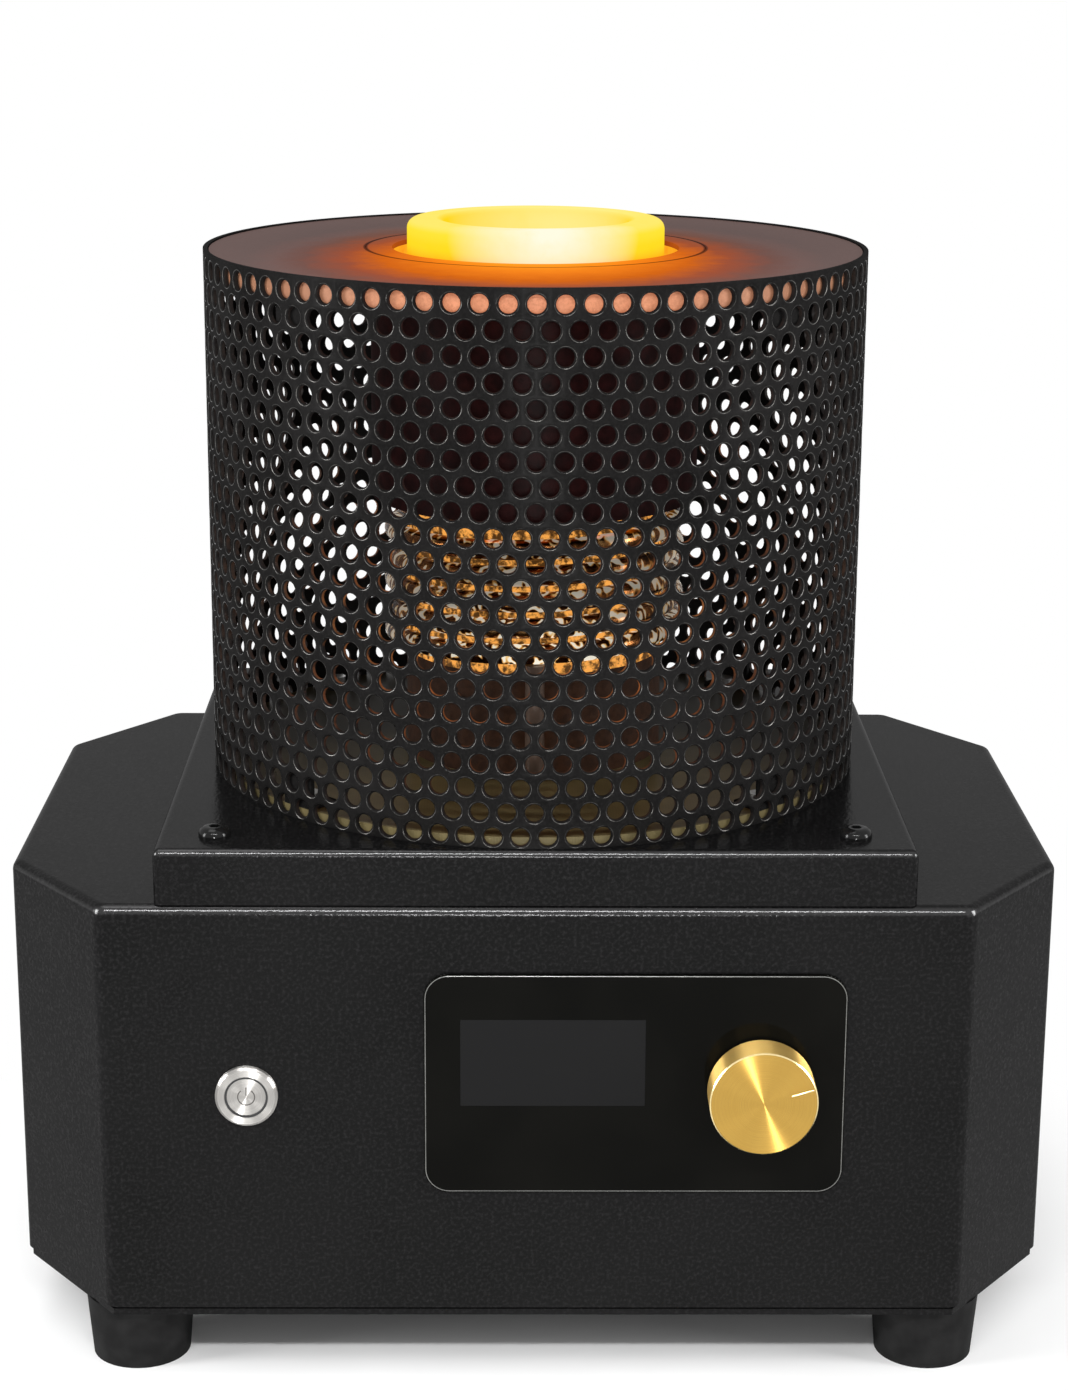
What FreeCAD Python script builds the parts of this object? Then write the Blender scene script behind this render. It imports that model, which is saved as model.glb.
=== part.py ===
import FreeCAD, Part
import Sketcher
import math
import os
import re

from FreeCAD import Placement, Rotation, Vector

# Desktop induction melting furnace, in millimetres.
# A black eight-sided steel case on rubber feet holds the power electronics. A raised square
# plinth on it carries a sheet-metal guard round a work coil and a crucible.
# Every piece is drawn about the guard's axis, and origin_shift then moves it, so that the
# origin lies under the middle of the whole object, on the bench. Z is up, -Y is the front.

SIZES = {
    # rubber feet, their screws and nuts
    "foot_height": 20.5,
    "foot_top_dia": 33.4,
    "foot_base_dia": 30.0,
    "foot_recess_dia": 13.0,
    "foot_recess_deep": 12.0,
    "foot_from_side": 38.0,
    "foot_from_front": 20.5,
    "foot_screw_dia": 5.0,
    "foot_screw_head_dia": 9.6,
    "foot_screw_head_tall": 3.0,
    "foot_nut_wide": 8.0,
    "foot_nut_thick": 4.0,
    # base plate and the folded case
    "plate_thick": 2.0,
    "plate_inset": 1.2,
    "plate_gap": 1.0,
    "case_width": 320.0,
    "case_depth": 211.0,
    "case_height": 129.0,
    "case_wall": 1.5,
    "case_top_bend": 3.0,
    "case_upright_bend": 5.0,
    "corner_wide": 31.5,
    "corner_deep": 42.0,
    "block_side": 14.0,
    "block_tall": 13.0,
    "block_from_middle": 42.0,
    "plate_screw_dia": 4.0,
    "plate_screw_head_dia": 7.6,
    "plate_screw_head_tall": 2.2,
    "plate_screw_long": 9.0,
    "top_opening_dia": 124.0,
    "intake_slot_long": 60.0,
    "intake_slot_wide": 4.0,
    "intake_slot_step": 9.0,
    "intake_slots": 6,
    "side_slot_long": 40.0,
    "side_slot_wide": 3.0,
    "side_slot_step": 8.0,
    "side_slots": 6,
    "side_slot_above_plate": 35.0,
    # plinth cover, its spacers and screws
    "plinth_width": 224.0,
    "plinth_depth": 209.0,
    "plinth_height": 17.0,
    "plinth_wall": 1.5,
    "plinth_bend": 2.2,
    "plinth_screw_from_side": 17.0,
    "plinth_screw_from_front": 14.5,
    "plinth_screw_dia": 5.0,
    "plinth_screw_long": 12.0,
    "plinth_head_dia": 9.5,
    "plinth_head_tall": 2.75,
    "plinth_head_edge": 0.35,
    "plinth_socket_wide": 3.0,
    "plinth_socket_deep": 1.6,
    "spacer_dia": 9.0,
    "spacer_shank_dia": 7.0,
    # guard, its brackets and floor
    "guard_dia": 206.0,
    "guard_wall": 1.5,
    "guard_height": 163.5,
    "guard_holes_round": 24,
    "guard_hole_rows": 7,
    "guard_hole_dia": 16.0,
    "guard_hole_edge": 16.0,
    "floor_thick": 3.0,
    "bracket_wide": 12.0,
    "bracket_leg": 10.0,
    "bracket_thick": 1.5,
    "bracket_screw_dia": 3.0,
    "bracket_head_dia": 5.6,
    "bracket_head_tall": 2.0,
    "bracket_screw_long": 7.0,
    "lug_leg": 7.0,
    # lid, collar and the refractory sleeve that hangs in the lid
    "lid_recess": 0.4,
    "lid_thick": 4.5,
    "lid_skirt_tall": 8.0,
    "lid_skirt_wall": 2.5,
    "collar_dia": 105.4,
    "collar_bore": 89.4,
    "collar_thick": 1.5,
    "sleeve_dia": 103.0,
    "sleeve_bore": 91.0,
    "sleeve_flange_thick": 1.5,
    # crucible, liner and pedestal
    "crucible_dia": 80.0,
    "crucible_bore": 56.0,
    "crucible_proud": 8.5,
    "crucible_foot_dia": 62.0,
    "crucible_waist_dia": 70.0,
    "crucible_floor_thick": 12.0,
    "crucible_foot_bore": 46.0,
    "crucible_straight": 56.0,
    "crucible_rim_round": 3.0,
    "liner_bore": 73.0,
    "liner_above_coil": 1.0,
    "sleeve_above_liner": 1.0,
    "pedestal_tall": 33.0,
    "pedestal_dia": 81.6,
    # induction coil: one tube wound from the back, both leads going down
    "coil_dia": 95.4,
    "coil_tube_dia": 6.3,
    "coil_turns": 5,
    "coil_pitch": 8.2,
    "coil_above_pedestal": 3.5,
    "coil_lead_out": 29.0,
    "coil_lead_bend": 14.0,
    "standoff_dia": 6.0,
    "bushing_dia": 13.0,
    "bushing_flange_dia": 17.0,
    "bushing_flange_thick": 2.5,
    "bushing_below_floor": 6.0,
    # capacitor bank with the coil's terminals
    "bank_wide": 160.0,
    "bank_deep": 84.0,
    "bank_thick": 2.5,
    "bank_height": 62.0,
    "bank_middle_back": 34.0,
    "bank_post_dia": 8.0,
    "bank_post_inset": 5.0,
    "terminal_side": 20.0,
    "terminal_tall": 22.0,
    "terminal_grip": 14.0,
    "terminal_screw_dia": 5.0,
    "terminal_screw_head_dia": 8.5,
    "terminal_screw_head_tall": 3.0,
    "tank_wide": 20.0,
    "tank_deep": 16.0,
    "tank_tall": 34.0,
    "tank_clear": 1.0,
    "tank_count": 6,
    "tank_from_edge": 6.0,
    # inverter board, its parts and the heat sink
    "board_wide": 150.0,
    "board_deep": 118.0,
    "board_thick": 1.6,
    "board_left": 128.0,
    "board_front": 52.0,
    "board_lift": 8.0,
    "board_post_dia": 6.0,
    "board_post_inset": 6.0,
    "bulk_dia": 30.0,
    "bulk_tall": 42.0,
    "bulk_count": 2,
    "bulk_step": 36.0,
    "bulk_right": 30.0,
    "bulk_back": 21.0,
    "choke_dia": 34.0,
    "choke_core": 11.0,
    "choke_right": 84.0,
    "choke_back": 27.0,
    "bridge_wide": 24.0,
    "bridge_deep": 5.0,
    "bridge_tall": 20.0,
    "sink_wide": 62.0,
    "sink_deep": 96.0,
    "sink_base": 6.0,
    "sink_tall": 42.0,
    "sink_fins": 9,
    "sink_fin_thick": 2.0,
    "sink_to_fan": 3.0,
    "transistor_wide": 16.0,
    "transistor_deep": 5.0,
    "transistor_tall": 20.0,
    "transistor_lift": 12.0,
    "transistor_step": 21.0,
    "transistor_count": 4,
    # rear fan and its grille
    "fan_side": 80.0,
    "fan_deep": 25.0,
    "fan_bore": 76.0,
    "fan_rotor_dia": 73.0,
    "fan_hub_dia": 32.0,
    "fan_hub_deep": 18.0,
    "fan_axle_dia": 4.0,
    "fan_blades": 7,
    "fan_blade_thick": 1.4,
    "fan_blade_wide": 16.0,
    "fan_blade_pitch": 35.0,
    "fan_blade_root": 1.0,
    "fan_from_corner": 8.5,
    "fan_above_plate": 46.0,
    "fan_screw_spread": 71.5,
    "fan_hole_dia": 4.3,
    "fan_bolt_dia": 2.6,
    "fan_screw_head_dia": 7.0,
    "fan_screw_head_tall": 2.2,
    "fan_strut_wide": 5.0,
    "fan_strut_thick": 3.0,
    "grille_wire": 2.0,
    "grille_bar_wide": 4.0,
    "grille_bar_thick": 1.6,
    "grille_rings": 4,
    "grille_inner_dia": 20.0,
    "grille_ring_step": 18.0,
    # mains inlet
    "inlet_from_corner": 8.0,
    "inlet_above_plate": 40.0,
    "inlet_wide": 27.0,
    "inlet_tall": 19.5,
    "inlet_deep": 24.0,
    "inlet_flange_wide": 49.0,
    "inlet_flange_tall": 24.0,
    "inlet_flange_thick": 3.0,
    "inlet_mouth_wide": 22.0,
    "inlet_mouth_tall": 14.5,
    "inlet_mouth_deep": 16.0,
    "inlet_pin_dia": 3.0,
    "inlet_pin_step": 7.0,
    "inlet_pin_lift": 2.0,
    "inlet_pin_long": 12.0,
    "inlet_screw_spread": 40.0,
    "inlet_screw_dia": 3.0,
    "inlet_screw_past": 4.0,
    "inlet_screw_head_dia": 5.5,
    "inlet_screw_head_tall": 1.8,
    # front panel and display
    "panel_width": 125.4,
    "panel_height": 69.5,
    "panel_thick": 1.2,
    "panel_round": 7.5,
    "panel_right": 29.7,
    "panel_below_top": 55.5,
    "screen_width": 55.0,
    "screen_height": 27.5,
    "screen_right": 5.3,
    "screen_below_top": 48.6,
    "display_border": 3.0,
    "display_thick": 4.0,
    "control_board_wide": 118.0,
    "control_board_tall": 64.0,
    "control_board_gap": 9.0,
    "control_post_dia": 5.0,
    "control_post_inset": 5.0,
    # rotary knob on a push encoder
    "knob_right": 67.2,
    "knob_below_top": 56.5,
    "knob_dia": 32.0,
    "knob_height": 11.0,
    "knob_bevel": 0.6,
    "knob_gap": 1.2,
    "knob_wall": 2.5,
    "knob_boss_sunk": 2.4,
    "knob_boss_dia": 12.0,
    "knob_mark_long": 7.0,
    "knob_mark_wide": 0.9,
    "knob_mark_deep": 0.4,
    "knob_mark_inset": 1.0,
    "knob_mark_angle": 17.0,
    "knob_press": 0.5,
    "shaft_dia": 6.0,
    "encoder_side": 13.0,
    "encoder_floor": 1.0,
    "encoder_bush_dia": 9.0,
    "encoder_bush_past_nut": 0.6,
    "encoder_nut_wide": 12.0,
    "encoder_nut_thick": 2.0,
    "plunger_long": 2.2,
    "grub_dia": 3.0,
    # push button
    "button_left": 85.8,
    "button_below_top": 59.3,
    "bezel_dia": 18.6,
    "bezel_tall": 2.2,
    "bezel_bevel": 0.7,
    "barrel_dia": 15.8,
    "barrel_long": 18.0,
    "cap_well_dia": 13.0,
    "cap_well_deep": 7.0,
    "cap_dia": 11.6,
    "cap_sunk": 0.4,
    "cap_thick": 2.4,
    "cap_stem_dia": 4.0,
    "cap_press": 1.5,
    "button_nut_wide": 19.0,
    "button_nut_thick": 2.5,
    "switch_dia": 14.0,
    "switch_deep": 10.0,
    "spring_dia": 8.4,
    "spring_wire": 0.6,
    "spring_turns": 3,
    # clearances
    "seat_gap": 0.3,
    "fit_gap": 0.05,
    "hole_gap": 0.2,
}

LEVELS = {
    "plate_bottom": "foot_height",
    "plate_top": "plate_bottom + plate_thick",
    "case_bottom": "plate_top + plate_gap",
    "case_top": "case_bottom + case_height",
    "case_front": "-case_depth / 2",
    "case_back": "case_depth / 2",
    "inner_front": "case_front + case_wall",
    "inner_back": "case_back - case_wall",
    "plinth_top": "case_top + plinth_height",
    "plinth_screw_wide": "plinth_width / 2 - plinth_screw_from_side",
    "plinth_screw_deep": "plinth_depth / 2 - plinth_screw_from_front",
    "floor_top": "plinth_top + floor_thick",
    "guard_top": "plinth_top + guard_height",
    "guard_inner_rad": "guard_dia / 2 - guard_wall",
    "lid_top": "guard_top - lid_recess",
    "ledge_top": "lid_top - collar_thick - sleeve_flange_thick",
    "pedestal_top": "floor_top + pedestal_tall",
    "crucible_top": "guard_top + crucible_proud",
    "coil_mean_rad": "(coil_dia - coil_tube_dia) / 2",
    "coil_start": "pedestal_top + coil_above_pedestal",
    "coil_end": "coil_start + coil_turns * coil_pitch",
    "coil_crown": "coil_end + coil_tube_dia / 2",
    "sleeve_bottom": "coil_crown + liner_above_coil + sleeve_above_liner",
    "bank_bottom": "plate_top + bank_height",
    "bank_top": "bank_bottom + bank_thick",
    "bank_front": "bank_middle_back - bank_deep / 2",
    "tank_reach": "bank_wide / 2 - bank_post_inset - bank_post_dia / 2 - tank_clear",
    "tank_step": "(2 * tank_reach - tank_wide) / (tank_count - 1)",
    "board_bottom": "plate_top + board_lift",
    "board_top": "board_bottom + board_thick",
    "rear_flat": "case_width / 2 - corner_wide",
    "fan_right": "rear_flat - fan_from_corner - fan_side / 2",
    "fan_z": "plate_top + fan_above_plate",
    "inlet_left": "rear_flat - inlet_from_corner - inlet_flange_wide / 2",
    "inlet_z": "plate_top + inlet_above_plate",
    "panel_z": "case_top - panel_below_top",
    "panel_face": "case_front - panel_thick",
    "screen_z": "case_top - screen_below_top",
    "control_front": "inner_front + control_board_gap",
    "knob_z": "case_top - knob_below_top",
    "knob_back": "panel_face - knob_gap",
    "knob_face": "knob_back - knob_height",
    "bush_end": "case_front - encoder_nut_thick - encoder_bush_past_nut",
    "button_z": "case_top - button_below_top",
    "bezel_face": "case_front - bezel_tall",
    "well_floor": "bezel_face + cap_well_deep",
    "cap_face": "bezel_face + cap_sunk",
    "barrel_back": "case_front + barrel_long",
    "rear_reach": "case_back + inlet_flange_thick + inlet_screw_head_tall",
    "origin_shift": "-(knob_face + rear_reach) / 2",
}

FUNCTIONS = {"sqrt", "sin", "cos", "tan", "hypot", "deg"}

doc = FreeCAD.newDocument("InductionMeltingFurnace")
sizes = doc.addObject("Spreadsheet::Sheet", "Sizes")
levels = doc.addObject("Spreadsheet::Sheet", "Levels")
subparts = []


def fill_sizes():
    """One row per driving dimension: its name, then its value under that name as alias."""
    for row, (alias, value) in enumerate(SIZES.items(), start=1):
        sizes.set(f"A{row}", alias)
        sizes.set(f"B{row}", str(value))
        sizes.setAlias(f"B{row}", alias)
    doc.recompute()


def fill_levels():
    """Heights and faces that several pieces share, worked out from the driving dimensions."""
    for row, (alias, formula) in enumerate(LEVELS.items(), start=1):
        levels.set(f"A{row}", alias)
        levels.set(f"B{row}", "=" + link(formula).replace("Levels.", ""))
        levels.setAlias(f"B{row}", alias)
    doc.recompute()


def link(text):
    """Turns the plain names in a formula into references to the two sheets."""
    def refer(match):
        word = match.group(0)
        if word in SIZES:
            return "Sizes." + word
        if word in LEVELS:
            return "Levels." + word
        if word in FUNCTIONS:
            return word
        raise NameError(word)
    return re.sub(r"[a-z][a-z_]*", refer, text)


def value_of(alias):
    """The present value of a size or a level, for the pieces that are not drawn by sketches."""
    sheet = sizes if alias in SIZES else levels
    return float(sheet.get(alias))


def keep(piece, label):
    """Marks a finished sub-part, names it and moves it from the guard's axis to the origin."""
    piece.Label = label
    piece.setExpression("Placement.Base.y", link("origin_shift"))
    subparts.append(piece)
    return piece


# Part primitives bound to the sheets

TURNS = {
    "z": Rotation(),
    "y": Rotation(Vector(1, 0, 0), -90),
    "x": Rotation(Vector(0, 1, 0), 90),
}


def place(piece, at, rotation):
    piece.Placement = Placement(Vector(), rotation)
    for axis, formula in zip("xyz", at):
        piece.setExpression(f"Placement.Base.{axis}", link(formula))
    return piece


def rod(name, radius, length, at=("0", "0", "0"), along="z"):
    piece = doc.addObject("Part::Cylinder", name)
    piece.setExpression("Radius", link(radius))
    piece.setExpression("Height", link(length))
    return place(piece, at, TURNS[along])


def block(name, size, corner, rotation=Rotation()):
    piece = doc.addObject("Part::Box", name)
    for side, formula in zip(("Length", "Width", "Height"), size):
        piece.setExpression(side, link(formula))
    return place(piece, corner, rotation)


def hexagon(name, across_flats, length, at, along="z"):
    """A six-sided prism, its flats at the given width."""
    piece = doc.addObject("Part::Prism", name)
    piece.Polygon = 6
    piece.setExpression("Circumradius", link(f"({across_flats}) / 2 / cos(30 deg)"))
    piece.setExpression("Height", link(length))
    return place(piece, at, TURNS[along])


def fuse(name, pieces):
    whole = doc.addObject("Part::MultiFuse", name)
    whole.Shapes = pieces
    return whole


def gather(name, pieces):
    whole = doc.addObject("Part::Compound", name)
    whole.Links = pieces
    return whole


def cut(name, base, tools):
    whole = doc.addObject("Part::Cut", name)
    whole.Base = base
    whole.Tool = tools[0] if len(tools) == 1 else gather(name + "_tools", tools)
    return whole


def mirrored(name, source, normal):
    other = doc.addObject("Part::Mirroring", name)
    other.Source = source
    other.Normal = normal
    return other


def left_and_right(name, piece):
    return gather(name, [piece, mirrored(name + "_other", piece, Vector(1, 0, 0))])


def four_corners(name, piece):
    """A piece in the right rear quarter and its images in the other three."""
    pair = left_and_right(name + "_rear", piece)
    return gather(name, [pair, mirrored(name + "_front", pair, Vector(0, 1, 0))])


def moved(name, source, at, rotation=Rotation()):
    """A piece drawn about its own axis, carried to its place."""
    whole = gather(name, [source])
    return place(whole, at, rotation)


# Bodies made of sketches

def new_body(name):
    return doc.addObject("PartDesign::Body", name)


def sketch_on(body, name, role, shift="0"):
    """A sketch on one of the body's own origin planes, moved along that plane's normal."""
    plane = next(item for item in body.Origin.OriginFeatures if item.Role == role)
    sketch = body.newObject("Sketcher::SketchObject", name)
    sketch.AttachmentSupport = (plane, [""])
    sketch.MapMode = "FlatFace"
    sketch.setExpression("AttachmentOffset.Base.z", link(shift))
    return sketch


def pin_point(sketch, geometry, point, across, up):
    """Fixes one point of the sketch by two dimensions from the sketch's origin."""
    for kind, formula in (("DistanceX", across), ("DistanceY", up)):
        number = sketch.addConstraint(Sketcher.Constraint(kind, -1, 1, geometry, point, 1.0))
        sketch.setExpression(f"Constraints[{number}]", link(formula))


def polygon(sketch, points):
    """A closed outline of straight lines through points given as formulas."""
    count = len(points)
    first = sketch.GeometryCount
    spots = [Vector(measure(across), measure(up), 0) for across, up in points]
    for index in range(count):
        sketch.addGeometry(Part.LineSegment(spots[index], spots[(index + 1) % count]), False)
    for index in range(count):
        following = first + (index + 1) % count
        sketch.addConstraint(Sketcher.Constraint("Coincident", first + index, 2, following, 1))
    for index, (across, up) in enumerate(points):
        pin_point(sketch, first + index, 1, across, up)


def measure(formula):
    """Works out a formula of the sheets once, to draw a point near where it belongs."""
    levels.set("D1", "=" + link(formula).replace("Levels.", ""))
    levels.recompute()
    return float(levels.get("D1"))


def ring(sketch, radius, across="0", up="0"):
    """A circle given by its radius and centre."""
    number = sketch.GeometryCount
    spot = Vector(measure(across), measure(up), 0)
    sketch.addGeometry(Part.Circle(spot, Vector(0, 0, 1), measure(radius)), False)
    datum = sketch.addConstraint(Sketcher.Constraint("Radius", number, 1.0))
    sketch.setExpression(f"Constraints[{datum}]", link(radius))
    pin_point(sketch, number, 3, across, up)


def rectangle(sketch, width, height, across="0", up="0"):
    """A rectangle given by its two sides and its middle."""
    left = f"({across}) - ({width}) / 2"
    right = f"({across}) + ({width}) / 2"
    low = f"({up}) - ({height}) / 2"
    high = f"({up}) + ({height}) / 2"
    polygon(sketch, [(left, low), (right, low), (right, high), (left, high)])


def pad(body, sketch, name, length, reverse=False):
    feature = body.newObject("PartDesign::Pad", name)
    feature.Profile = sketch
    feature.Reversed = reverse
    feature.setExpression("Length", link(length))
    return feature


def pocket(body, sketch, name, length, reverse=False):
    """Cuts a sketch into the body, and makes sure that it takes something away."""
    doc.recompute()
    before = body.Shape.Volume
    feature = body.newObject("PartDesign::Pocket", name)
    feature.Profile = sketch
    feature.Reversed = reverse
    feature.setExpression("Length", link(length))
    doc.recompute()
    if not body.Shape.Volume < before:
        raise RuntimeError(name + " cuts nothing")
    return feature


def lathe(name, outline):
    """A body turned about Z from an outline of (radius, height) points."""
    body = new_body(name)
    sketch = sketch_on(body, name + "_outline", "XZ_Plane")
    polygon(sketch, outline)
    turned = body.newObject("PartDesign::Revolution", name + "_turned")
    turned.Profile = sketch
    turned.ReferenceAxis = (sketch, ["V_Axis"])
    turned.Angle = 360
    return body


def round_edges(body, name, radius, chosen):
    """Rounds the edges that the given test picks out of the body's last shape."""
    doc.recompute()
    base = body.Tip
    names = [f"Edge{i}" for i, edge in enumerate(base.Shape.Edges, start=1) if chosen(edge)]
    feature = body.newObject("PartDesign::Fillet", name)
    feature.Base = (base, names)
    feature.setExpression("Radius", link(radius))
    return feature


def bevel_edges(body, name, size, chosen):
    doc.recompute()
    base = body.Tip
    names = [f"Edge{i}" for i, edge in enumerate(base.Shape.Edges, start=1) if chosen(edge)]
    feature = body.newObject("PartDesign::Chamfer", name)
    feature.Base = (base, names)
    feature.setExpression("Size", link(size))
    return feature


def hollow_from_below(body, name, wall):
    """Leaves a wall of even thickness and takes the lowest face away."""
    doc.recompute()
    base = body.Tip
    low = min(face.CenterOfMass.z for face in base.Shape.Faces)
    faces = base.Shape.Faces
    number = next(i for i, face in enumerate(faces, start=1) if abs(face.CenterOfMass.z - low) < 1e-6)
    feature = body.newObject("PartDesign::Thickness", name)
    feature.Base = (base, [f"Face{number}"])
    feature.Reversed = True
    feature.setExpression("Value", link(wall))
    return feature


def is_upright(edge):
    ends = [vertex.Point for vertex in edge.Vertexes]
    return len(ends) == 2 and (ends[0] - ends[1]).cross(Vector(0, 0, 1)).Length < 1e-6


def lies_at(height):
    """A test for edges that lie level at a height."""
    def test(edge):
        box = edge.BoundBox
        return abs(box.ZMin - height) < 1e-6 and abs(box.ZMax - height) < 1e-6
    return test


# Tubes wound along arcs

def helix_point(radius, pitch, start, first_angle, angle):
    height = start + pitch * (angle - first_angle) / (2 * math.pi)
    return Vector(radius * math.cos(angle), radius * math.sin(angle), height)


def helix_heading(radius, pitch, angle):
    heading = Vector(-radius * math.sin(angle), radius * math.cos(angle), pitch / (2 * math.pi))
    return heading.normalize()


def corner_arc(start, corner, end):
    """The arc that leaves start towards corner and arrives at end from it."""
    middle = (start + end) * 0.5
    half_chord = (end - start).Length / 2
    rise = (corner - middle).Length
    quarter_turn = math.atan2(rise, half_chord) / 2
    top = middle + (corner - middle).normalize() * (half_chord * math.tan(quarter_turn))
    return Part.Arc(start, top, end).toShape()


def biarc(start, heading, end, end_heading):
    """Two arcs that join two points and keep the heading at both."""
    across = end - start
    along = across.dot(heading + end_heading)
    spread = 2 * (1 - heading.dot(end_heading))
    reach = (-along + math.sqrt(along * along + spread * across.dot(across))) / spread
    first_corner = start + heading * reach
    last_corner = end - end_heading * reach
    meeting = (first_corner + last_corner) * 0.5
    return [corner_arc(start, first_corner, meeting), corner_arc(meeting, last_corner, end)]


def wound_path(radius, pitch, start, turns, first_angle):
    """The arcs of a winding, a quarter of a turn to each pair."""
    edges = []
    quarters = 4 * turns
    for step in range(quarters):
        here = first_angle + step * math.pi / 2
        there = here + math.pi / 2
        edges += biarc(
            helix_point(radius, pitch, start, first_angle, here),
            helix_heading(radius, pitch, here),
            helix_point(radius, pitch, start, first_angle, there),
            helix_heading(radius, pitch, there),
        )
    return edges


def lead_corners(point, heading, run, bend, bottom):
    """A level run from a point, its bend downwards and the drop below it, as five points."""
    down = Vector(0, 0, -1)
    tangent = bend * math.tan(heading.getAngle(down) / 2)
    corner = point + heading * run
    bend_end = corner + down * tangent
    return [point, corner - heading * tangent, corner, bend_end, Vector(bend_end.x, bend_end.y, bottom)]


def lead(corners):
    """Straight, arc and straight through the five points of a lead, in the order given."""
    start, bend_start, corner, bend_end, end = corners
    return [
        Part.LineSegment(start, bend_start).toShape(),
        corner_arc(bend_start, corner, bend_end),
        Part.LineSegment(bend_end, end).toShape(),
    ]


def tube_along(edges, diameter):
    """A round tube swept along joined edges, from the first edge's start."""
    wire = Part.Wire(Part.__sortEdges__(edges))
    first = wire.OrderedEdges[0]
    start = wire.OrderedVertexes[0].Point
    heading = first.tangentAt(first.FirstParameter)
    if (first.valueAt(first.FirstParameter) - start).Length > 1e-6:
        heading = first.tangentAt(first.LastParameter) * -1
    section = Part.Wire(Part.Circle(start, heading, diameter / 2).toShape())
    return wire.makePipeShell([section], True, False)


def least_gap(edges, diameter):
    """The least distance between two stretches of a tube that are not neighbours along it."""
    step = diameter / 4
    spots = []
    for edge in edges:
        count = max(2, int(edge.Length / step))
        spots += edge.discretize(count)[:-1]
    apart = int(4 * diameter / step)
    least = min(
        (spots[i] - spots[j]).Length
        for i in range(len(spots))
        for j in range(i + apart, len(spots))
    )
    return least - diameter


# Case outline, shared by the base plate and the case

def eight_sided(inset):
    """The case's outline, moved inwards by a distance that may be zero."""
    slant = "sqrt(corner_wide * corner_wide + corner_deep * corner_deep)"
    side = f"(case_width / 2 - ({inset}))"
    front = f"(case_depth / 2 - ({inset}))"
    long_flat = f"(case_width / 2 - corner_wide + ({inset}) * (corner_wide - {slant}) / corner_deep)"
    short_flat = f"(case_depth / 2 - corner_deep + ({inset}) * (corner_deep - {slant}) / corner_wide)"
    quarter = [(long_flat, front), (side, short_flat)]
    points = []
    for across_sign, up_sign, order in (("", "", 1), ("", "-", -1), ("-", "-", 1), ("-", "", -1)):
        for across, up in quarter[::order]:
            points.append((across_sign + across, up_sign + up))
    return points


def slots_in_row(sketch, count, long_side, wide_side, step, across, up, along_up=False):
    """A row of equal slots about a middle point, each one side by side with the next."""
    for index in range(count):
        shift = f"({index} - ({count} - 1) / 2) * {step}"
        if along_up:
            rectangle(sketch, wide_side, long_side, f"({across}) + {shift}", up)
        else:
            rectangle(sketch, long_side, wide_side, across, f"({up}) + {shift}")


def corner_spots(across, up):
    """The four points at plus and minus two distances."""
    return [(sx + across, sy + up) for sx in ("", "-") for sy in ("", "-")]


FOOT_SPOT = ("(case_width / 2 - foot_from_side)", "(case_depth / 2 - foot_from_front)")
BLOCK_SPOT = ("(case_width / 2 - case_wall - block_side / 2)", "block_from_middle")
PLINTH_SPOT = ("plinth_screw_wide", "plinth_screw_deep")
FAN_SPOTS = [
    (f"fan_right {sx} fan_screw_spread / 2", f"fan_z {sz} fan_screw_spread / 2")
    for sx in "+-"
    for sz in "+-"
]
INLET_SPOTS = [(f"-inlet_left {sign} inlet_screw_spread / 2", "inlet_z") for sign in "+-"]


def make_feet():
    foot = lathe("Foot", [
        ("foot_screw_dia / 2 + hole_gap", "foot_recess_deep"),
        ("foot_recess_dia / 2", "foot_recess_deep"),
        ("foot_recess_dia / 2", "0"),
        ("foot_base_dia / 2", "0"),
        ("foot_top_dia / 2", "foot_height"),
        ("foot_screw_dia / 2 + hole_gap", "foot_height"),
    ])
    spot = moved("Foot_at", foot, FOOT_SPOT + ("0",))
    keep(four_corners("Feet", spot), "rubber_feet")


def make_foot_fasteners():
    shank = "foot_height - foot_recess_deep + plate_thick + foot_nut_thick + 1"
    at = FOOT_SPOT + ("foot_recess_deep",)
    head_at = FOOT_SPOT + ("foot_recess_deep - foot_screw_head_tall",)
    head = rod("Foot_screw_head", "foot_screw_head_dia / 2", "foot_screw_head_tall", head_at)
    stem = rod("Foot_screw_stem", "foot_screw_dia / 2", shank, at)
    keep(four_corners("Foot_screws", fuse("Foot_screw", [head, stem])), "foot_screws")

    nut_at = FOOT_SPOT + ("plate_top",)
    body = hexagon("Foot_nut_body", "foot_nut_wide", "foot_nut_thick", nut_at)
    bore = rod("Foot_nut_bore", "foot_screw_dia / 2 + fit_gap", "foot_nut_thick", nut_at)
    keep(four_corners("Foot_nuts", cut("Foot_nut", body, [bore])), "foot_nuts")


def make_base_plate():
    plate = new_body("Plate")
    sketch = sketch_on(plate, "Plate_outline", "XY_Plane", "plate_bottom")
    polygon(sketch, eight_sided("plate_inset"))
    for across, up in corner_spots(*FOOT_SPOT):
        ring(sketch, "foot_screw_dia / 2 + hole_gap", across, up)
    for across, up in corner_spots(*BLOCK_SPOT):
        ring(sketch, "plate_screw_dia / 2 + hole_gap", across, up)
    slots_in_row(sketch, int(SIZES["intake_slots"]), "intake_slot_long", "intake_slot_wide",
                 "intake_slot_step", "0", "-case_depth / 4")
    pad(plate, sketch, "Plate_pad", "plate_thick")
    keep(plate, "base_plate")


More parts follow.
